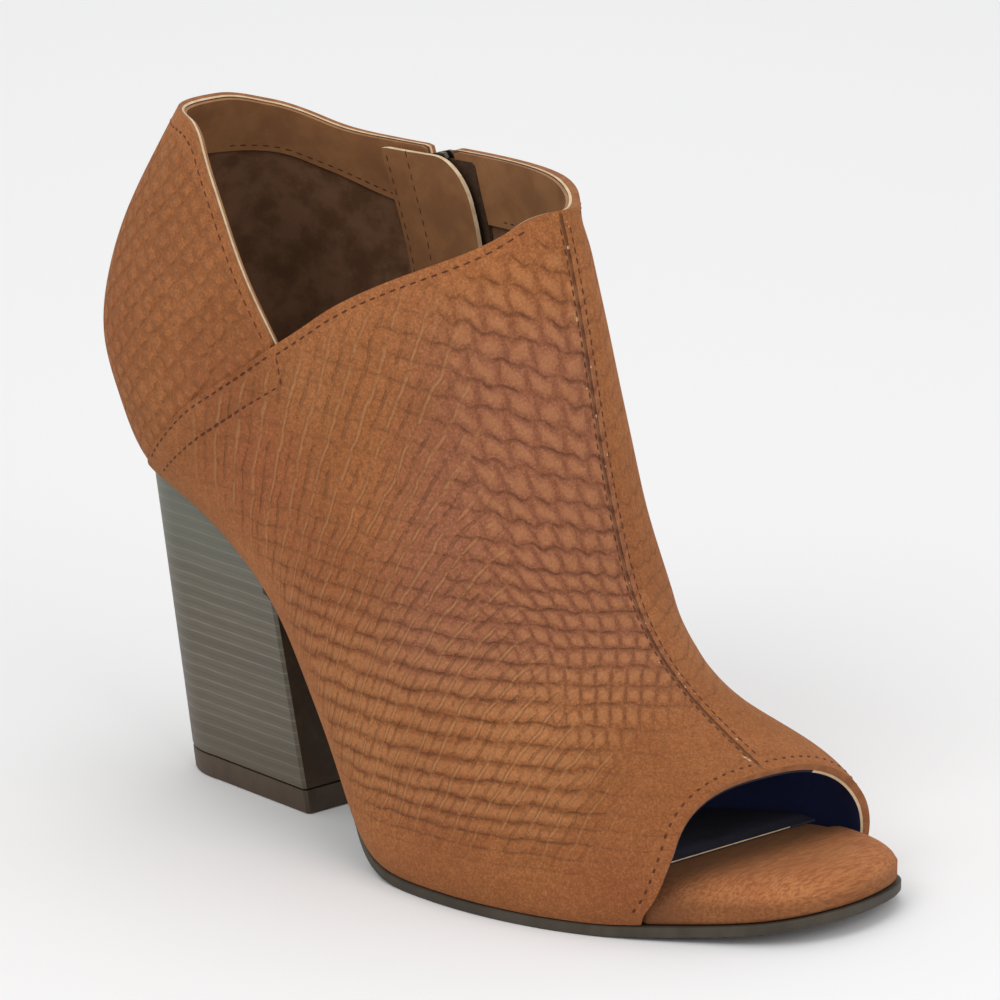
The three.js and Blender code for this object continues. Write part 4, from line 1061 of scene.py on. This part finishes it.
# Round the zip's slot.
ZIP_STITCH = 6.6
for across in (-ZIP_STITCH, ZIP_STITCH):
    down = np.linspace(6, ZIP_LENGTH + 3, 120)
    zx, zz = zip_point(down, across)
    stitch_side(zx, zz, 1, 0.0 if across > 0 else -LAP)
end_turn = np.linspace(0, math.pi, 40)
zx, zz = zip_point(ZIP_LENGTH + 3 + 3.6 * np.sin(end_turn), -ZIP_STITCH * np.cos(end_turn))
stitch_side(zx, zz, 1, 0.0, pitch=2.6)

# Front seam: two rows beside the ridge.
seam_rows = np.linspace(3.3, 14.9, 320)
for offset in (-1.5, 1.8):
    power = 2 / LAST["high"](seam_rows)
    turn = np.arccos((abs(offset) / (LAST["half"](seam_rows) * BALL_WIDTH)) ** (1 / power))
    path, out = on_skin(seam_rows, turn, np.sign(offset), 0.0)
    keep_row = (collar_height(path[:, 0], path[:, 1]) - path[:, 2] > 5) & (opening_x(*path.T) > 4.6)
    stitch(path[keep_row], out[keep_row], pitch=2.5, length=1.8)

# Toe opening: one coarse row, 2.5 mm behind the edge, each point's row found by halving.
for side in (-1, 1):
    near_top = math.pi / 2 - 0.07 * np.linspace(1, 0.1, 40) ** 2
    turn = np.concatenate([np.linspace(-0.75, 1.5, 240), near_top])
    low, high = np.full_like(turn, 2.0), np.full_like(turn, 8.0)
    for _ in range(HALVINGS):
        s = (low + high) / 2
        near_edge = opening_x(*last_point(s, turn, side).T) < 2.5
        low, high = np.where(near_edge, s, low), np.where(near_edge, high, s)
    path, out = on_skin(s, turn, side)
    shown = path[:, 2] - feather(path[:, 0]) > 2.5
    stitch(path[shown], out[shown], pitch=2.9, length=1.3, radius=0.38)

# Facing's lower edge, inside, and the guard's two rows.
facing_x = np.linspace(0, 128, 260)
off = np.abs(zip_place(facing_x, inner_edge(facing_x) - FACING_DEPTH)[1]) > 19
for first, last in ((0, int(np.argmin(off))), (len(off) - int(np.argmin(off[::-1])), len(off))):
    stitch_side(facing_x[first:last], facing_low(facing_x)[first:last] + 1.6, 1, FACING_FAR, radius=0.28)
for across in (-16.6, -9.2):
    down = np.linspace(3, ZIP_LENGTH + 4, 120)
    zx, zz = zip_point(down, across)
    stitch_side(zx, zz, 1, GUARD_FAR, radius=0.28)
make("stitches", np.concatenate(stitch_points), np.concatenate(stitch_faces), [THREAD], slot="upper_suede",
     sharp=180)

# Sole pieces


def half_outline(side, steps=230):
    """The sole's outline on one side, toe to seat: where each section crosses the feather line."""
    rear_rows = np.linspace(14, LAST_END, 2000)
    seat_row = np.interp(0.0, LAST["keel_up"](rear_rows), rear_rows)
    s = seat_row * np.sin(np.linspace(0, math.pi / 2, 1500))
    low, high = np.full_like(s, -math.pi / 2), np.zeros_like(s)
    at_keel = last_point(s, low, side)
    free = at_keel[:, 2] - feather(at_keel[:, 0]) > 0
    for _ in range(HALVINGS):
        turn = (low + high) / 2
        p = last_point(s, turn, side)
        under = p[:, 2] < feather(p[:, 0])
        low, high = np.where(under, turn, low), np.where(under, high, turn)
    line = np.where(free[:, None], at_keel, last_point(s, low, side))[:, :2]
    total = np.concatenate([[0], np.cumsum(np.linalg.norm(np.diff(line, axis=0), axis=1))])
    even = np.linspace(0, total[-1], steps + 1)
    return np.stack([np.interp(even, total, line[:, k]) for k in (0, 1)], axis=1)


OUTER_HALF, INNER_HALF = half_outline(-1), half_outline(1)
OUTLINE = np.concatenate([OUTER_HALF, INNER_HALF[-2::-1]])
way = np.roll(OUTLINE, -6, axis=0) - np.roll(OUTLINE, 6, axis=0)
way /= np.linalg.norm(way, axis=1, keepdims=True)
INWARD = np.stack([-way[:, 1], way[:, 0]], axis=1)
if np.sum(INWARD * (OUTLINE - OUTLINE.mean(axis=0))) > 0:
    INWARD = -INWARD


def sole_ring(inset, height):
    """The outline moved in by inset, at a height above the feather line; both may change along it."""
    flat = OUTLINE + INWARD * np.reshape(inset, (-1, 1))
    return np.column_stack([flat, feather(flat[:, 0]) + height])


# The outsole: drawn in at the waist, its edges rounded, cut off at the heel's breast.
waist = 2.2 * (1 - ramp(OUTLINE[:, 0] / FOOT_LENGTH, 0.36, 0.55))
edge = [(0.7, 0.0), (0.25, 0.08), (0.0, 0.35)]
levels = [(inset - 0.5, -OUTSOLE - CLEARANCE + rise) for inset, rise in edge]
levels += [(inset - 0.5, -CLEARANCE - rise) for inset, rise in edge[::-1]]
rings = np.array([sole_ring(inset + waist, height) for inset, height in levels])
breast = HEEL_TIP_FRONT - 11 * rings[..., 2] / SEAT_HEIGHT + CLEARANCE
rings[..., 0] = np.maximum(rings[..., 0], breast)
at_breast = feather(rings[..., 0]) + np.array(levels)[:, 1:2]
rings[..., 2] = np.where(rings[..., 0] <= breast + 1e-6, at_breast, rings[..., 2])
points, faces = lofted(rings)
make("outsole_edge", points, faces, [OUTSOLE_EDGE], slot="outsole_rubber", replaces=["outsole"])


def bed_height(x):
    """The footbed's thickness: thin behind, padded under the toes."""
    return 3 + 7.4 * ramp(x / FOOT_LENGTH, 0.6, 0.84)


# The footbed's side and top: how far in, and how high as a share of its thickness.
profile = [(0.7, 0.0), (0.15, 0.03), (0.0, 0.1), (0.0, 0.3), (0.0, 0.4)]
profile += [(12 * share, 0.42 + 0.58 * (1 - (1 - share) ** 2.6) ** 0.8) for share in np.linspace(0, 1, 12)]
tuck = 2.6 * ramp(opening_x(OUTLINE[:, 0], OUTLINE[:, 1], np.full(len(OUTLINE), 5.0)), -0.1, 0.9)
bed_rings = [sole_ring(0.5 + inset + tuck, share * bed_height(OUTLINE[:, 0])) for inset, share in profile]
points, faces = lofted(bed_rings)
padded_bed = make("footbed_wrapped", points, faces, [WRAP], slot="bed_suede", replaces=["footbed"], sharp=60)


# The sock's rear end, distance from the outline and thickness (mm), and points across it.
SOCK_BACK, SOCK_INSET, SOCK_THICK, SOCK_COLUMNS = -4.0, 3.6, 1.4, 14


def across_strip(x_from, x_to, inset, low_rise, high_rise, steps=160):
    """A thin pad between two stations: rings of a flat rectangle across the foot, following the footbed.

    It narrows over its last 40 mm and is skived thin over its last 5 mm."""
    x = x_from + (x_to - x_from) * (1 - np.cos(np.linspace(0, math.pi, steps))) / 2
    inset = inset + 6 * ramp(x, x_to - 40, x_to)
    left = np.interp(-x, -OUTER_HALF[:, 0], OUTER_HALF[:, 1]) + inset
    right = np.interp(-x, -INNER_HALF[:, 0], INNER_HALF[:, 1]) - inset
    share = np.linspace(0, 1, SOCK_COLUMNS)
    top = left[:, None] + (right - left)[:, None] * share
    slant = OPENING_TURN * top * ((x - x_from) / (x_to - x_from))[:, None] ** 2
    place = x[:, None] + slant
    base = feather(place) + bed_height(place)
    skived = 1 - 0.6 * ramp(x, x_to - 5, x_to)[:, None]
    high = np.stack([place, top, base + low_rise + (high_rise - low_rise) * skived], axis=-1)
    low = np.stack([place, top, base + low_rise], axis=-1)
    ring_points = np.concatenate([high, low[:, ::-1]], axis=1)
    return lofted(ring_points)


SOCK_FRONT = float(opening_edge(14.0) - 11)
points, faces = across_strip(SOCK_BACK, SOCK_FRONT, SOCK_INSET, CLEARANCE, CLEARANCE + SOCK_THICK)
make("sock", points, faces, [SOCK], slot="sock_lining", replaces=["insole_sock"])


def tube(path, radius, sides=8):
    """A round cord along a path: rings square to it, closed at both ends."""
    tangent = np.gradient(path, axis=0)
    tangent /= np.linalg.norm(tangent, axis=1, keepdims=True)
    up = np.array([0.0, 0.0, 1.0])
    across = np.cross(tangent, up)
    across /= np.linalg.norm(across, axis=1, keepdims=True)
    above = np.cross(across, tangent)
    turn = np.arange(sides) * 2 * math.pi / sides
    rings = path[:, None] + radius * (np.cos(turn)[None, :, None] * across[:, None]
                                      + np.sin(turn)[None, :, None] * above[:, None])
    return lofted(rings)


# The sock's cut front edge, along its last ring's upper points but for the two at the inner side.
edge_path = points[-2 * SOCK_COLUMNS:-SOCK_COLUMNS - 2] + (0.1, 0.0, -0.1)
points, faces = tube(edge_path, 0.16)
make("sock_edge", points, faces, [RAW_EDGE], slot="sock_lining", sharp=180)

# Heel

# Steps round the heel's sides and back, and how far the breast's corners are cut (mm).
HEEL_STEPS, HEEL_CORNER = 40, 0.8


def heel_ring(z, inset):
    """The heel's D outline at a height, which may change from point to point.

    It has a flat breast with softened corners, and sides that narrow to a rounded back."""
    turn = np.linspace(0, math.pi, HEEL_STEPS)
    depth = np.abs(np.sin(turn)) ** 0.9
    wide = np.sign(np.cos(turn)) * np.abs(np.cos(turn)) ** 0.9
    z = np.broadcast_to(z, (HEEL_STEPS + 4,)).astype(float)
    share = z / SEAT_HEIGHT
    front = HEEL_TIP_FRONT - 11 * share - inset
    back = 6 - 9.6 * share + inset
    half = (43 + 15 * share) / 2 - inset
    x = np.concatenate([
        [front[0], front[1] - HEEL_CORNER], back[2:-2] + 19 * (1 - depth),
        [front[-2] - HEEL_CORNER, front[-1]],
    ])
    y = np.concatenate([
        [-half[0] + HEEL_CORNER, -half[1]], -half[2:-2] * 0.83 * wide, [half[-2], half[-1] - HEEL_CORNER],
    ])
    return np.stack([x, HEEL_SHIFT + y, z], axis=1)


# The tip's height, and the heel's top: where its outline meets the feather line, found by repeating.
TIP = 6.2
HEEL_FROM = TIP + CLEARANCE
SETTLING_STEPS = 30
top = np.full(HEEL_STEPS + 4, 80.0)
for _ in range(SETTLING_STEPS):
    top = feather(heel_ring(top, 0.0)[:, 0]) - CLEARANCE
levels = [heel_ring(HEEL_FROM, 0.5), heel_ring(HEEL_FROM + 0.2, 0.12), heel_ring(HEEL_FROM + 0.6, 0.0)]
levels += [heel_ring(HEEL_FROM + 0.6 + (top - HEEL_FROM - 0.6) * t, 0.0) for t in np.linspace(0.04, 1, 26)]
points, faces = lofted(levels)
centres = points[faces].mean(axis=1)
normal = np.cross(points[faces[:, 1]] - points[faces[:, 0]], points[faces[:, 2]] - points[faces[:, 0]])
normal /= np.linalg.norm(normal, axis=1, keepdims=True) + 1e-12
is_breast = (np.abs(normal[:, 0]) > 0.9) & (centres[:, 0] > 45)
make("heel_stack", points, faces, [HEEL, HEEL_BREAST], parts=is_breast.astype(int), slot="heel_stack",
     replaces=["heel_block"], sharp=35)
points, faces = lofted([heel_ring(z, inset) for z, inset in (
    (0.0, 0.7), (0.2, 0.2), (0.7, 0.0), (TIP - 0.5, 0.0), (TIP - 0.1, 0.2), (TIP, 0.6),
)])
make("heel_tip_piece", points, faces, [HEEL_TIP], slot="heel_tip_rubber", replaces=["heel_tip"], sharp=35)

# Floor, light and camera

floor_mesh = bpy.data.meshes.new("floor")
FLOOR_HALF = 6
corners = [(x * FLOOR_HALF, y * FLOOR_HALF, 0) for x, y in ((-1, -1), (1, -1), (1, 1), (-1, 1))]
floor_mesh.from_pydata(corners, [], [(0, 1, 2, 3)])
floor = bpy.data.objects.new("floor", floor_mesh)
bpy.context.scene.collection.objects.link(floor)

# Paper sweep, matt: a pale ground that takes soft shadows.
floor_paper, floor_tree, floor_shader, _given = material("floor_white")
wire(floor_tree, floor_shader, {"Base Color": "#f2f2f3", "Roughness": 0.9, "Specular IOR Level": 0.05})
floor_mesh.materials.append(floor_paper)

world = bpy.data.worlds.new("studio")
bpy.context.scene.world = world
world.use_nodes = True
wire(world.node_tree, world.node_tree.nodes["Background"], {"Color": "#f6f6f5", "Strength": 0.7})

# The point the camera looks at, in metres, and from where: angles, and a distance in metres.
TARGET = (np.array([109.8, 0.0, 86.6]) - MIDDLE) / 1000
AZIMUTH, ELEVATION, CAMERA_DISTANCE = math.radians(45.5), math.radians(14.0), 1.3


def area_light(name, place, aim, size, power):
    """A square soft light at a place, aimed at a point."""
    data = bpy.data.lights.new(name, "AREA")
    data.size = size
    data.energy = power
    made = bpy.data.objects.new(name, data)
    made.location = place
    made.rotation_euler = (Vector(place) - Vector(aim)).to_track_quat("Z", "Y").to_euler()
    bpy.context.scene.collection.objects.link(made)


area_light("key", (0.2, -1.5, 1.5), TARGET, 1.0, 11.0)
area_light("fill", (1.6, -0.3, 0.9), TARGET, 1.2, 9.0)
area_light("top", (-0.2, 0.3, 1.9), TARGET, 1.5, 5.0)
area_light("far_floor", (-1.2, 1.2, 1.3), (-1.2, 1.2, 0.0), 1.6, 4.8)

camera_data = bpy.data.cameras.new("camera")
camera_data.sensor_width = 36.0
camera_data.lens = 189.54
camera_data.clip_end = 50
camera = bpy.data.objects.new("camera", camera_data)
bpy.context.scene.collection.objects.link(camera)
flat = math.cos(ELEVATION)
toward = Vector((math.sin(AZIMUTH) * flat, -math.cos(AZIMUTH) * flat, math.sin(ELEVATION)))
camera.location = Vector(TARGET) + toward * CAMERA_DISTANCE
camera.rotation_euler = toward.to_track_quat("Z", "Y").to_euler()
bpy.context.scene.camera = camera
bpy.context.scene.view_settings.view_transform = "Standard"
